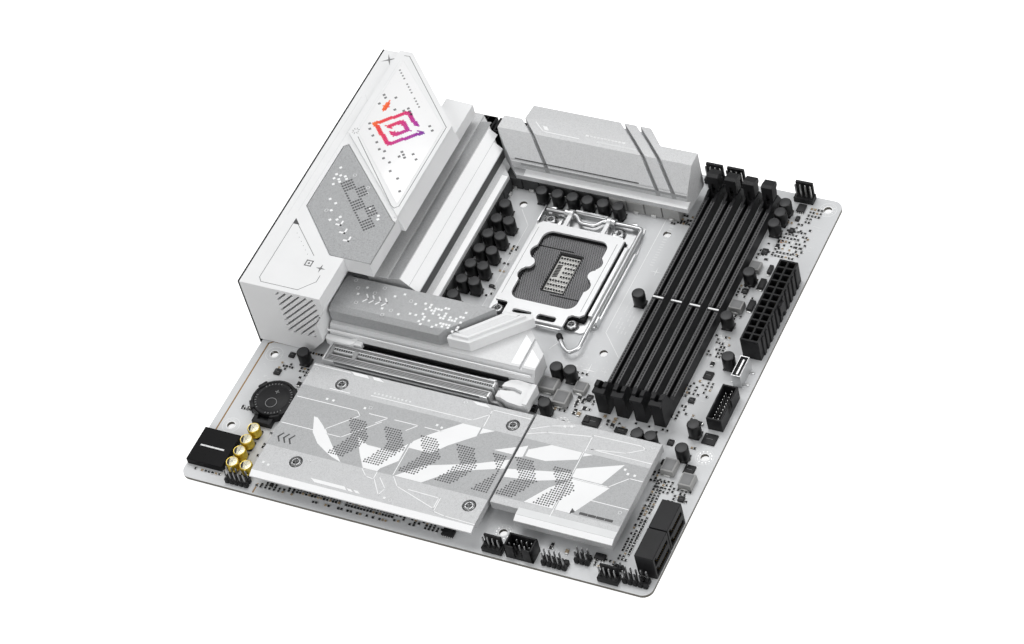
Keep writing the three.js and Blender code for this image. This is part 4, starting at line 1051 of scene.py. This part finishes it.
def lower_plate_prints():
    """Bands, pale shards, thin lines and halftone arrowheads on the two lower cooler plates, and painted
    highlights along their front bevels.
    """
    z = PLATE_TOP
    over = z + 0.02
    main = Piece("lower_plate_print", INK_WHITE)
    main.add(sheet(38.9, 155.5, 22.4, 60.0, z, 0.015), SILVER_DARK)
    main.add(sheet(156.8, 220.3, 26.0, 60.0, z, 0.015), SILVER_DARK)
    shards = [
        [
            (53.7, 43.7), (55.8, 43.5), (60.4, 40), (66.2, 34.5), (70, 30.6), (78.7, 22.5), (72.7, 24.3),
            (69.3, 25.9), (62.7, 29.5), (57.5, 34.9),
        ],
        [
            (125, 59.8), (134.6, 59.8), (134.6, 54.6), (124, 46), (118, 39.4), (106, 39.4), (106.8, 43.6),
            (112.6, 49.4),
        ],
        [(135.4, 59.8), (141.8, 59.8), (135.4, 56.2)],
        [
            (80, 38.6), (86.5, 35.4), (101, 35.4), (105.2, 41.6), (105.2, 31), (98.6, 24.6), (98, 22.6),
            (90.4, 22.6), (85, 30),
        ],
        [(107, 22.6), (121, 22.6), (133, 33), (155.4, 41), (155.4, 46.4), (140, 39.4), (118, 32)],
        [(146, 49.6), (155.4, 54), (155.4, 49.6)],
        [(157, 54.4), (160.6, 56.4), (160.6, 49.6), (157, 48.6)],
        [(161.6, 50.4), (161.6, 54.4), (171, 59.8), (186.4, 59.8), (186.4, 55.4), (172, 50.4)],
        [(187.6, 59.8), (192, 59.8), (187.6, 57.6)],
        [(157, 36.6), (157, 41.4), (186.4, 47.6), (186.4, 43.4), (172, 38.6)],
        [(187.6, 45.4), (187.6, 50.4), (208.4, 58.6), (202.4, 45.4)],
        [(172, 26.2), (186.4, 26.2), (186.4, 42.0), (180, 37)],
        [(187.6, 26.2), (196, 26.2), (207, 44.4), (187.6, 44.4)],
        [(59, 73.4), (67.4, 73.4), (69.4, 71.8), (61.6, 71.8)],
        [(70.4, 73.4), (74, 73.4), (77.6, 71.8), (72, 71.8)],
        [(124, 73.2), (131, 73.2), (134, 71.8), (127, 71.8)],
        [(69, 10.2), (87, 10.2), (89, 8.4), (72, 8.4)],
        [(88.4, 9.6), (90.6, 9.6), (92.4, 8.4), (90, 8.4)],
        [(92, 9.6), (94.2, 9.6), (96, 8.4), (93.6, 8.4)],
    ]
    for shard in shards:
        main.add(patch(shard, z), INK_WHITE)
    fine = [
        [(40, 52.6), (72.6, 52.6), (75.2, 50.2), (62.4, 38.4), (64.6, 36), (72, 36), (87, 49.6)],
        [(40, 36.2), (62.4, 36.2)],
        [(79, 52.6), (89, 52.6), (84.4, 48.4)],
        [(92.6, 52.6), (105, 52.6), (100.6, 48.4)],
        [(108.6, 52.6), (117, 52.6), (112, 48.6)],
        [(75, 62.8), (128.6, 62.8), (135.4, 68.2), (135.4, 71), (155.4, 71)],
        [(135.4, 61), (135.4, 67.4)],
        [(39, 72.6), (59, 72.6)],
        [(157, 62.6), (166, 66), (187.4, 69.6), (187.4, 61)],
        [(188, 70.4), (212, 70.8), (214, 69.4), (206.4, 65), (190, 62.6), (220, 62.6)],
        [(158, 66), (166, 70), (177, 73)],
        [(107, 22), (111, 17.4), (133, 10.6), (133, 16.8), (117, 17.2)],
        [(133.8, 16.8), (133.8, 9.2), (140, 8.2), (155.4, 7.8)],
        [(90.4, 22), (94, 18.6), (98.2, 18), (98.2, 22)],
        [(98.8, 18), (104.6, 10.4), (106, 14.6), (101, 19.6)],
        [(188.4, 44.8), (206, 44.8), (213.6, 52), (220, 52)],
        [(200, 35.6), (220, 35.6)],
        [(106.2, 23), (106.2, 42)],
        [(187, 22), (187, 60)],
        [(53.5, 61.2), (64, 61.2)],
    ]
    lines(main, fine, z + 0.01, 0.42, INK_WHITE)
    # Painted highlights along the plates' front bevels.
    main.add(strip_along_x((3.75, 10.69), (6.9, 11.83), 39.0, 155.4), PAINTED_HIGHLIGHT)
    main.add(strip_along_x((15.9, 10.69), (18.6, 11.86), 171.2, 220.2), PAINTED_HIGHLIGHT)
    main.add(sheet(171.2, 220.2, 18.8, 22.6, z), INK_PALE)
    small = [(55, 55), (58.4, 55), (75.4, 55), (113.6, 55.4), (116.4, 54.6), (172.4, 71.6), (175.6, 72.4)]
    small += [(209.6, 56.2), (211.8, 54.2), (215.2, 54.2), (42.6, 12.2), (45.6, 11.4), (108.2, 9.6)]
    squares(main, small, over, 1.2, INK_WHITE)
    open_ones = [(78, 56), (41.6, 70.4), (121, 71.6), (217, 71.6), (217, 33), (63.6, 19.6), (111.4, 9.2)]
    hollow_squares(main, open_ones, over, 1.5, INK_PALE)
    squares(main, [(76 + 2.1 * k, 64.6) for k in range(10)], over, 1.0, INK_PALE, 20)
    dotted_chevrons(main, 70.5, 155, 26.2, 49.8, z + 0.03)
    dotted_chevrons(main, 157.8, 197, 27.2, 49.8, z + 0.03)
    arrows = [[(x + 1.6, 30.4), (x, 28.0), (x + 1.6, 25.6)] for x in (42.4, 45.4, 48.4)]
    lines(main, arrows, over, 0.75, INK_GREY)
    main.add(patch([(195, 29.2), (195, 25.8), (197.2, 27.5)], over), INK_GREY)
    lines(main, [[(200 + 4.2 * k, 27.5), (202.6 + 4.2 * k, 27.5)] for k in range(4)], over, 1.4, INK_GREY)
    main.put()


def bar_print():
    """Scattered pixels that thicken towards the slanted end of the bar, and lines on the handle."""
    piece = Piece("upper_bar_print", INK_WHITE)
    draw = random.Random(5)
    z = BAR_TOP
    pitch = 1.55
    places = set()
    while len(places) < 46:
        column = draw.randint(0, 17)
        row = draw.randint(0, 8)
        edge = 105.5 + pitch * row
        x = 79 + pitch * column
        if x < edge and draw.random() < 0.25 + column / 22:
            places.add((x, 99.4 + pitch * row))
    squares(piece, sorted(places), z, 1.25, INK_WHITE)
    single = [(48.5, 108.6), (51.2, 113.4), (67, 112), (71.2, 114.4), (64.2, 103.4), (73.6, 102.2)]
    squares(piece, single, z, 1.25, INK_WHITE)
    open_ones = [(43.6, 116.2), (46.8, 112), (56.4, 111.2), (59.8, 115.4), (50, 103.4), (69, 103.4)]
    hollow_squares(piece, open_ones + [(76, 111.4), (66, 99.8)], z, 1.5, INK_PALE)
    arrows = [[(x, 109.4), (x + 1.8, 107.2), (x, 105.0)] for x in (53.0, 56.4, 59.8, 63.2)]
    lines(piece, arrows, z, 0.75, INK_WHITE)
    lines(piece, [[(104.2, 100.4), (111.2, 100.4), (130.4, 118.3)]], HANDLE_TOP, 0.25, INK_MID)
    lines(piece, [[(106.4, 101.6), (111, 101.6), (126.6, 116.0)]], HANDLE_TOP, 0.16, INK_PALE)
    piece.put()


def motif(piece, z):
    """A generic lit pixel motif: nested diamonds with a gap, and a small flame at the upper corner."""
    pitch = 0.8
    places = []
    for i, j, _, _ in grid(0, 0, 49, 45, pitch, pitch):
        x = (i - 24) * pitch
        y = (j - 22) * pitch
        reach = abs(x) * 0.85 + abs(y)
        outer = 9.6 < reach < 12.6 and not (x > 1.5 and 1.0 < y < 3.6)
        heart = 3.0 < reach < 6.2 and not (x < -1.5 and -3.0 < y < -0.8)
        if outer or heart:
            places.append((31.8 + x, 197.4 + y))
    squares(piece, places, z, 0.76, MOTIF)
    spots = grid(17.4, 206.4, 5, 11, pitch, pitch)
    flame = [(x, y) for i, j, x, y in spots if abs(i - 2) + abs(j - 4) / 2.6 < 2.3]
    squares(piece, flame, z, 0.76, MOTIF)


def cover_print():
    """Outlines, stars and a square mark on the rear cover."""
    piece = Piece("cover_print", INK_GREY)
    z = ROOF_TOP
    lower_outline = [(7.7, 128), (7.7, 92), (9.6, 89.6), (29.8, 89.6), (36.5, 96.6), (36.5, 100.6)]
    lines(piece, [lower_outline, [(10.2, 128), (27.6, 111.4)]], z, 0.3, INK_MID)
    lines(piece, [[(3.6, 216), (6.4, 212.4), (6.4, 136)], [(2.2, 214), (2.2, 132)]], z, 0.28, INK_PALE)
    piece.add(patch([(7.6, 131.2), (7.6, 127.6), (11.2, 127.6)], z), INK_GREY)
    piece.add(star(34.6, 104.8, z, 2.6, 0.24), INK_MID)
    hollow_squares(piece, [(27.4, 106.4)], z, 3.2, INK_MID)
    squares(piece, [(27.4, 106.4)], z, 1.1, INK_MID, 45)
    squares(piece, [(12.6 + 2.3 * k, 122.4 - 2.2 * k) for k in range(6)], z, 0.35, INK_MID, 45)
    piece.add(star(4.6, 241.4, z, 4.2, 0.16, 30), INK_MID)
    border = [(12.2, 244.6), (15.0, 244.8), (55.2, 204.2), (55.2, 150.2), (53.4, 148.4), (51.2, 149.6)]
    lines(piece, [border + [(14.2, 187.2)]], PANEL_TOP, 0.32, INK_MID)
    lines(piece, [[(11.4, 240.8), (11.4, 194.6), (52.4, 153.6)]], PANEL_TOP, 0.18, INK_PALE)
    for turn in range(0, 360, 45):
        ray = [around(11.3, 190.6, reach, turn) for reach in (1.1, 2.0)]
        lines(piece, [ray], PANEL_TOP, 0.28, INK_MID)
    piece.put()


def light_panel():
    """The tinted panel, in place of the CAD node, and the motif and pixels printed on it."""
    glass = Piece("light_panel", PANEL, "root", ["shroud_light_panel"])
    corners = [(13, 190), (53.8, 151), (53.8, 203.6), (13, 241.4)]
    glass.add(prism(corners, PANEL_TOP, PANEL_TOP + 0.25, 0.08), PANEL)
    glass.put()
    piece = Piece("light_panel_print", INK_MID)
    z = PANEL_TOP + 0.26
    motif(piece, z)
    dots = [
        (14.4, 216.6), (16, 215), (14.7, 210.5), (21.2, 216.3), (24.4, 208.6), (29.2, 209), (30.8, 211),
        (32.4, 209.4), (34, 207.8), (46.8, 202.6), (49.4, 200.2), (16, 196.8), (17.8, 193.4), (21.4, 189.6),
        (25.4, 186), (28.8, 182), (32, 181.4), (33.6, 177), (37.8, 175.2), (40.8, 170), (46.6, 166.4),
        (51.4, 159), (40.8, 183.2), (42.4, 181.6), (43.8, 180), (40.8, 180), (47, 183.2), (50, 180.4),
    ]
    squares(piece, dots, z, 1.35, INK_MID, 45)
    run = [(14.6 + 1.62 * k, 234.4 - 1.62 * k) for k in range(15) if k % 5 != 4]
    squares(piece, run, z, 0.9, INK_MID, 45)
    piece.put()


def cover_insert_print():
    """Pixels, a chequered run and corner marks on the cover's grey insert."""
    piece = Piece("cover_insert_print", INK_WHITE)
    z = 44.3
    scatter = [
        (14, 167.4), (14, 162.8), (16.4, 162.6), (19, 162.6), (20.4, 161.2), (14, 160), (16.6, 160),
        (17.8, 158.6), (15.4, 156.4), (35, 155), (18.4, 147), (22.4, 145.2), (22.4, 140.4), (28.8, 137.6),
        (28, 135.6), (24.6, 134.6), (41, 146.4), (47, 143.2), (47.8, 141),
    ]
    squares(piece, scatter, z, 1.35, INK_WHITE, 45)
    hollow_squares(piece, [(23.4, 164.6), (33.6, 158.6), (20, 139.8)], z, 1.5, INK_PALE)
    run = []
    for row in range(20):
        for k in range(8):
            if (row // 4 + k // 4) % 2 == 0 or k % 4 == 0:
                run.append((19.4 + 1.3 * row + 0.92 * k, 157.6 - 1.3 * row + 0.92 * k))
    squares(piece, run, z, 0.98, INK_GREY, 45)
    for x, y in ((31.4, 132.8), (35.6, 128.6), (39.8, 124.4)):
        lines(piece, [[(x - 2.4, y), (x, y), (x, y + 2.4)]], z, 0.95, INK_WHITE)
    piece.put()


def sink_prints():
    """Painted highlights on facets, painted shade in bands, fine lines and the small mark on the upper
    coolers.
    """
    piece = Piece("cooler_print_and_painted_light", PAINTED_HIGHLIGHT)
    # Across the side cooler: painted highlights on the facets, painted shade on its steep face and on the
    # band under the cover, and a pale line.
    for a, b, y1, material in (
        ((65.35, 27.5), (69.3, 23.85), 224.4, PAINTED_HIGHLIGHT),
        ((69.5, 23.65), (73.65, 19.85), 219.6, PAINTED_HIGHLIGHT),
        ((76.4, 12.2), (79.4, 11.86), 209.4, PAINTED_HIGHLIGHT),
        ((73.86, 19.4), (73.86, 14.1), 219.4, PAINTED_SHADE),
        ((59.0, 26.45), (64.8, 27.56), 228.6, SILVER_DARK),
        ((47.2, 26.2), (48.2, 26.2), 233.8, INK_PALE),
    ):
        piece.add(strip_along_y(a, b, 121.5, y1), material)
    handle = [(106.4, 99.9), (111.6, 99.9), (130.4, 117.3), (124.0, 116.8)]
    piece.add(patch(handle, HANDLE_TOP + 0.01), SILVER_LIGHT)
    # Painted highlights on the carrier's top facets.
    for x0, x1, y1 in ((134.4, 139.0, 114.0), (140.9, 146.9, 106.4)):
        corners = [(x0, 96.2), (x1, 96.2), (x1, y1 - (x1 - x0) * 0.9), (x0, y1)]
        piece.add(patch(corners, CARRIER_TOP), PAINTED_HIGHLIGHT)
    # Along the top cooler's front: a painted shadow line, painted shade in its recess and painted highlights
    # on its ledges.
    for a, b, x0, x1, material in (
        ((214.55, 20.26), (214.95, 20.72), 82.6, 150.0, PAINTED_SHADE),
        ((213.5, 15.6), (213.86, 18.9), 86.0, 175.4, SILVER_DARK),
        ((213.36, 15.5), (215.7, 14.2), 86.0, 175.4, PAINTED_HIGHLIGHT),
        ((211.8, 12.0), (215.7, 12.92), 87.0, 175.4, PAINTED_HIGHLIGHT),
    ):
        piece.add(strip_along_x(a, b, x0, x1), material)
    z = SINK_TOP
    lines(piece, [[(88.8, 231.6), (94.9, 226.6), (114.5, 226.4)]], z, 0.45, INK_WHITE)
    piece.add(patch([(93.2, 230.0), (95.6, 230.0), (97.6, 227.7), (95.2, 227.7)], z), INK_WHITE)
    for k in range(11):
        step = 1.9 * k
        lines(piece, [[(117.5 + step, 229.3), (118.8 + step, 229.3)]], z, 0.9, INK_WHITE)
        lines(piece, [[(124.5 + step, 226.6), (125.6 + step, 226.6)]], z, 0.9, INK_PALE)
    piece.put()


def board_print():
    """Faint white lines, ticks and stars, dotted rings round the holes, bare strips and open vias."""
    z = TOP
    piece = Piece("board_print", INK_WHITE)
    paths = [
        [(90, 199), (97.4, 190), (97.4, 128.4), (94, 122)],
        [(163, 216), (163, 136.6), (175, 124)],
        [(176.8, 208), (176.8, 120)],
        [(143, 124.4), (140.6, 120)],
        [(228.6, 222), (228.6, 204)],
        [(231, 122), (231, 110)],
    ]
    lines(piece, paths, z, 0.28, INK_WHITE)
    for x, y, reach in ((164.4, 112.8, 4.4), (171.4, 178.4, 3.0), (172.4, 114.0, 1.4), (232, 46, 2.2)):
        piece.add(star(x, y, z, reach, 0.1), INK_WHITE)
    for column in range(4):
        x = 166.6 + 1.9 * column
        ticks = [[(x, 138 + 2.6 * k), (x, 139.4 + 2.6 * k)] for k in range(11) if (k + column) % 4]
        lines(piece, ticks, z, 0.5, INK_PALE)
    lines(piece, [[(166.8, 182 + 1.7 * k), (168.2, 182 + 1.7 * k)] for k in range(16)], z, 0.5, INK_PALE)
    rings = [ring(inner, outer, z - 0.02, z + 0.03, 40) for inner, outer in ((2.05, 2.5), (4.25, 4.4))]
    dot = ring(0, 0.28, z, z + 0.04, 12)
    holes = [(10.16, 34.29), (10.16, 80.01), (165.1, 80.01), (237.49, 80.01), (165.1, 13.97)]
    for x, y in holes + [(237.49, 237.49)]:
        for shape in rings:
            piece.add(shape, INK_WHITE, (x, y, 0))
        for turn in range(0, 360, 30):
            piece.add(dot, TIN, (*around(x, y, 3.3, turn), 0))
    draw = random.Random(3)
    dashes = [(213, 224, 97, 125, 26), (221, 238, 202, 226, 46), (6, 22, 60, 86, 16), (226, 240, 44, 72, 22)]
    for x0, x1, y0, y1, count in dashes + [(96, 100, 140, 178, 14), (186, 214, 8, 14, 16)]:
        for _ in range(count):
            x = draw.uniform(x0, x1)
            y = draw.uniform(y0, y1)
            long = draw.choice([0.8, 1.2, 1.8])
            lines(piece, [[(x, y), (x + long, y)]], z, 0.28, INK_PALE)
    piece.put()
    strips = Piece("exposed_strips", GOLD)
    paths = [[(4.1, 29), (4.1, 85.4), (6.4, 87.2), (17, 87.6)], [(39.7, 1.2), (39.7, 6.2)]]
    lines(strips, paths, z, 0.75, STRIP)
    strips.add(ring(0.5, 1.0, z, z + 0.05, 28), COPPER, (223.3, 212.7, 0))
    strips.put()
    vias = Piece("board_vias", TIN)
    via = ring(0.12, 0.26, z - 0.01, z + 0.02, 10)
    fields = [(214.5, 224.5, 135, 151, 11, 12), (221, 234, 203, 222, 9, 14), (182, 212, 80, 88, 16, 5)]
    fields += [(98, 99.6, 140, 175, 2, 26), (150, 176, 108, 122, 10, 7), (6, 20, 50, 68, 6, 8)]
    for x0, x1, y0, y1, columns, rows in fields:
        for _, _, x, y in grid(x0, y0, columns, rows, (x1 - x0) / columns, (y1 - y0) / rows):
            if draw.random() < 0.5:
                vias.add(via, TIN, (x, y, 0))
    vias.put()


# ---------------------------------------------------------------- rear connectors

def gold_row(piece, count, x0, x1, y0, pitch, width, z0, z1):
    """Contacts side by side on a tongue, from x0 to x1."""
    for k in range(count):
        y = y0 + pitch * k
        piece.add(block(x0, x1, y, y + width, z0, z1), GOLD)


def rear_connectors():
    """Tongues, rings and contacts seen in the openings of the rear plate, and the plate's marks."""
    piece = Piece("port_tongues", BLACK)
    inner = 7.9  # where every tongue ends inside its socket
    for y0, y1, colours in ((110, 124.5, (BLUE, BLUE, RED, RED)), (148, 162.5, (RED, RED, BLUE, BLUE))):
        for i, colour in enumerate(colours):
            z = TOP + 7.5 * i
            piece.add(block(-0.6, inner, y0 + 2.4, y1 - 2.4, z + 3.4, z + 4.9, 0.15), colour)
            gold_row(piece, 4, 0.2, 6.5, y0 + 4, 2.1, 1.0, z + 3.3, z + 3.42)
    for i, colour in enumerate((BLUE, BLUE, BLACK, BLACK)):
        z = TOP + 7.75 * i
        piece.add(block(1.0, inner, 130.6, 141.9, z + 2.0, z + 3.4, 0.15), colour)
        gold_row(piece, 8, 1.2, 6.5, 131.4, 1.25, 0.6, z + 3.38, z + 3.52)
    outward = Matrix.Rotation(math.radians(90), 4, "Y")
    jack = ring(1.8, 2.5, -1.2, 7.5, 28)
    for z, colour in ((TOP + 4, PINK), (TOP + 12, LIME)):
        for y in (94.4, 101.6):
            piece.add(jack, colour, (0.6, y, z), matrix=outward)
    for i in range(3):
        z = TOP + i * 22 / 3
        piece.add(block(0.4, inner, 187.4, 198.6, z + 3.0, z + 4.2, 0.15), BLACK)
        gold_row(piece, 9, 0.6, 6.4, 188, 1.15, 0.45, z + 4.16, z + 4.3)
    thread = []
    for k in range(9):
        thread += [(2.45, k - 2.0), (2.25, k - 1.5)]
    barrel = lathe([(1.3, -2.2)] + thread + [(1.3, 7.2)], 24)
    core = ring(0, 0.35, -1.6, 6, 12)
    for z in (TOP + 4, TOP + 12):
        for y in (210.2, 217.8):
            piece.add(barrel, GOLD, (1.6, y, z), matrix=outward)
            piece.add(core, GOLD, (1.6, y, z), matrix=outward)
    piece.put()
    plate = Piece("rear_plate_marks", INK_MID)
    circle = ring(2.7, 3.0, 0, 0.05, 32)
    for y in (228.5, 236.5):
        plate.add(circle, INK_MID, (-1.99, y, 8.5), matrix=Matrix.Rotation(math.radians(-90), 4, "Y"))
    for y0, y1 in REAR_PORTS:
        plate.add(block(-2.03, -1.97, y0 + 3, y1 - 3, 35.4, 35.9), INK_MID)
    plate.put()


# ---------------------------------------------------------------- underside

def solder_tails():
    """Solder cones under the parts whose pins pass through the board."""
    piece = Piece("solder_joints", TIN)
    cone = lathe([(0, -0.75), (0.22, -0.7), (0.4, -0.3), (0.75, 0.02), (0, 0.05)], 12)
    rows = [(x0 + 2.5, y0 + 2.5, i, j, CELL_PITCH, CELL_PITCH) for x0, y0, i, j in POWER_SOCKETS]
    spots = [(x, y) for row in rows for _, _, x, y in grid(*row)]
    for x in DIMM_X:
        spots += [(x + side * 1.6, 97 + PIN_PITCH * k) for k in range(51) for side in (-1, 1)]
    spots += [(x, y) for x in (4, 8, 12) for y in range(92, 240, 4) if not 164 <= y <= 180]
    spots += [(44 + 2.0 * k, 81 + side * 1.6) for k in range(44) for side in (-1, 1)]
    pins = [(25, 3.4, 5, 2), (174, 4.5, 5, 2), (190.6, 3.4, 5, 2), (204.6, 8.9, 3, 2), (230, 5, 5, 2)]
    for header in pins + [(161.2, 3.3, 4, 1), (219, 3.3, 4, 1)]:
        spots += [(x, y) for _, _, x, y in grid(*header, PIN_PITCH, PIN_PITCH)]
    spots += [(x, y) for _, _, x, y in grid(235.2, 98.2, 2, 10, 2.4, 1.9)]
    for x, y in spots:
        piece.add(cone, TIN, (x, y, 0))
    piece.put()


def underside_parts():
    """Chip parts and flat packages on the underside."""
    under = Piece("underside_parts", CHIP)
    draw = random.Random(21)
    body = slab(0.7, 0.6, -0.55, 0.02, 0.05)
    cap = slab(0.3, 0.64, -0.56, 0.02, 0.05)
    fields = [(114, 142, 148, 180, 12, 14), (60, 84, 124, 200, 8, 26), (84, 170, 208, 224, 24, 5)]
    fields += [(60, 150, 30, 60, 16, 8), (178, 226, 60, 90, 12, 8), (176, 216, 20, 50, 10, 9)]
    for field in fields:
        for x, y in field_spots(*field):
            if draw.random() <= 0.4:
                turn = draw.choice([0, 90])
                under.add(body, draw.choice([CHIP, CERAMIC, CHIP]), (x, y, 0), turn)
                for side in (-0.5, 0.5):
                    under.add(cap, TIN, (*around(x, y, side, turn), 0), turn)
    for x, y, w, d in ((70, 100, 6, 6), (150, 190, 5, 5), (200, 110, 7, 7), (100, 96, 4, 5), (218, 30, 5, 4)):
        under.add(slab(w, d, -1.0, 0.02, 0.15), CHIP, (x, y, 0))
    under.put()


# ---------------------------------------------------------------- remaining fittings

def fittings():
    """Storage-card clip, painted shade behind the cover's vents, data contacts and the sound cover's marks.
    """
    clip = Piece("card_clip", WHITE)
    outline = [(37, 88.4), (40, 87.4), (51, 87.4), (53, 89), (53, 92.6), (50, 91.4), (39, 91.4), (36.6, 91.4)]
    clip.add(prism(outline, 8.4, 13.2, 0.8), WHITE)
    clip.add(block(49.6, 56.4, 88.6, 91.5, 9.2, 12.4, 0.5), WHITE)
    clip.put()
    # A dark sheet behind the cover's vents: painted shade inside the cover.
    vent_shade = Piece("vent_painted_shade", CHARCOAL)
    for right, low, high in ((34.4, 12.6, 27.2), (38.2, 27.2, 31.2), (39.0, 31.2, 35.4), (41.0, 35.4, 43.4)):
        vent_shade.add(block(17.0, right, 88.5, 88.8, low, high), CHARCOAL)
    vent_shade.put()
    # A black block filling the header's shell: painted shade inside it.
    well = Piece("header_shell_shade", BLACK)
    well.add(block(234.75, 238.25, 123.15, 134.45, 2.9, 9.0, 0.1), BLACK)
    well.put()
    contacts = Piece("data_contacts", GOLD)
    for y0 in (14.5, 31.1):
        for z in (3.4, 9.6):
            gold_row(contacts, 9, 237.4, 242.9, y0, 1.15, 0.5, z + 0.02, z + 0.3)
    for _, _, y, x in grid(124.6, 235.92, 10, 2, 0.86, 1.2):
        contacts.add(block(x, x + 0.18, y, y + 0.4, 4.5, 9.0), GOLD)
    contacts.put()
    legs = Piece("header_shell_legs", STEEL)
    for y in (124.4, 131.6):
        for x0, x1 in ((238.6, 241.4), (232.2, 234.3)):
            legs.add(block(x0, x1, y, y + 1.0, TOP, TOP + 0.5, 0.12), STEEL)
    legs.put()
    marks = Piece("sound_cover_marks", INK_PALE)
    lines(marks, [[(4 + 2.6 * k, 17.2), (5.6 + 2.6 * k, 17.2)] for k in range(5)], 5.2, 0.9, INK_PALE)
    marks.put()


def plate_screws():
    for i, (x, y) in enumerate(((57.7, 16.8), (57.8, 65.2), (148.4, 17.0), (148.4, 65.5))):
        screw_head("plate_screw_%d" % (i + 1), "m2_screw_%d" % (i + 1), x, y, 10.42, 1.6, 1.2, 3.0)


# ---------------------------------------------------------------- studio

def mix_shaders(tree, factor, first, second, output):
    """Joins two shaders by a factor, and makes the result what the tree gives."""
    mix = new_node(tree, "MixShader", {"Fac": factor})
    tree.links.new(first, mix.inputs[1])
    tree.links.new(second, mix.inputs[2])
    tree.links.new(mix.outputs["Shader"], tree.nodes[output].inputs["Surface"])


def studio_floor():
    """A pale floor just under the board. It glows more for the camera, and is clear from below."""
    bpy.ops.mesh.primitive_plane_add(size=14, location=(0, 0, cad_box[0].z - 0.5 * MM))
    floor = bpy.context.object
    floor.name = "floor"
    material, tree, shader = nodes_of("studio_floor")
    seen = new_node(tree, "LightPath").outputs["Is Camera Ray"]
    feed(tree, shader, {
        "Base Color": ramp(tree, noise(tree, 0.7, 2), [(0.0, (0.6, 0.6, 0.6)), (1.0, (0.62, 0.62, 0.62))]),
        "Roughness": 0.9,
        "Specular IOR Level": 0.1,
        "Emission Color": (1, 1, 1, 1),
        "Emission Strength": spread(tree, seen, 0.12, 0.82),
    })
    clear = new_node(tree, "BsdfTransparent").outputs["BSDF"]
    behind = new_node(tree, "NewGeometry").outputs["Backfacing"]
    mix_shaders(tree, behind, shader.outputs["BSDF"], clear, "Material Output")
    floor.data.materials.append(material)


def studio_world():
    """White behind the part, and for light a sky that is brightest near the horizon."""
    world = bpy.data.worlds.new("studio_world")
    bpy.context.scene.world = world
    world.use_nodes = True
    tree = world.node_tree
    coords = new_node(tree, "TexCoord").outputs["Generated"]
    height = new_node(tree, "SeparateXYZ", {"Vector": coords}).outputs["Z"]
    levels = [(0.0, 0.3), (0.12, 0.05), (0.3, 0.16), (0.42, 0.85), (0.75, 0.6), (1.0, 0.32)]
    fill = tree.nodes["Background"]
    sky = ramp(tree, height, [(place, (level, level, level)) for place, level in levels])
    feed(tree, fill, {"Color": sky, "Strength": 0.85})
    white = new_node(tree, "Background", {"Color": (1, 1, 1, 1)})
    seen = new_node(tree, "LightPath").outputs["Is Camera Ray"]
    mix_shaders(tree, seen, fill.outputs["Background"], white.outputs["Background"], "World Output")
    bpy.context.scene.view_settings.view_transform = "Standard"


def softbox(place, size, power):
    data = bpy.data.lights.new("softbox", "AREA")
    data.size = size
    data.energy = power
    lamp = bpy.data.objects.new("softbox", data)
    lamp.location = place
    lamp.rotation_mode = "QUATERNION"
    lamp.rotation_quaternion = Vector(place).to_track_quat("Z", "Y")
    bpy.context.scene.collection.objects.link(lamp)


def studio():
    studio_floor()
    studio_world()
    softbox((-0.3, 0.5, 1.4), 0.9, 9.0)
    softbox((0.1, -1.4, 0.9), 0.8, 5.5)
    softbox((-1.2, 0.2, 0.8), 0.5, 2.0)
    softbox((1.5, 0.1, 0.75), 0.9, 9.0)


def camera():
    """The photograph's camera, solved from the board's corners and mounting holes."""
    data = bpy.data.cameras.new("camera")
    data.lens = 110.7
    data.sensor_width = 36
    data.clip_end = 50
    view = bpy.data.objects.new("camera", data)
    right = Vector((0.89266, 0.41064, -0.18584))
    up = Vector((-0.20304, 0.73445, 0.64757))
    back = right.cross(up).normalized()
    basis = Matrix((right, up, back)).transposed().to_4x4()
    place = TO_ROW @ Vector((723.75, -685.73, 1117.77))
    view.matrix_world = Matrix.Translation(place) @ basis
    bpy.context.scene.collection.objects.link(view)
    bpy.context.scene.camera = view


dress_all()
capacitors()
chokes()
chips()
passives()
headers()
power_contacts()
contact_field()
load_lever()
load_plate_fold_shade()
socket_hardware()
memory_slots()
card_slot()
coin_cell()
lower_plate_prints()
bar_print()
cover_print()
light_panel()
cover_insert_print()
sink_prints()
board_print()
rear_connectors()
solder_tails()
underside_parts()
fittings()
plate_screws()
studio()
camera()
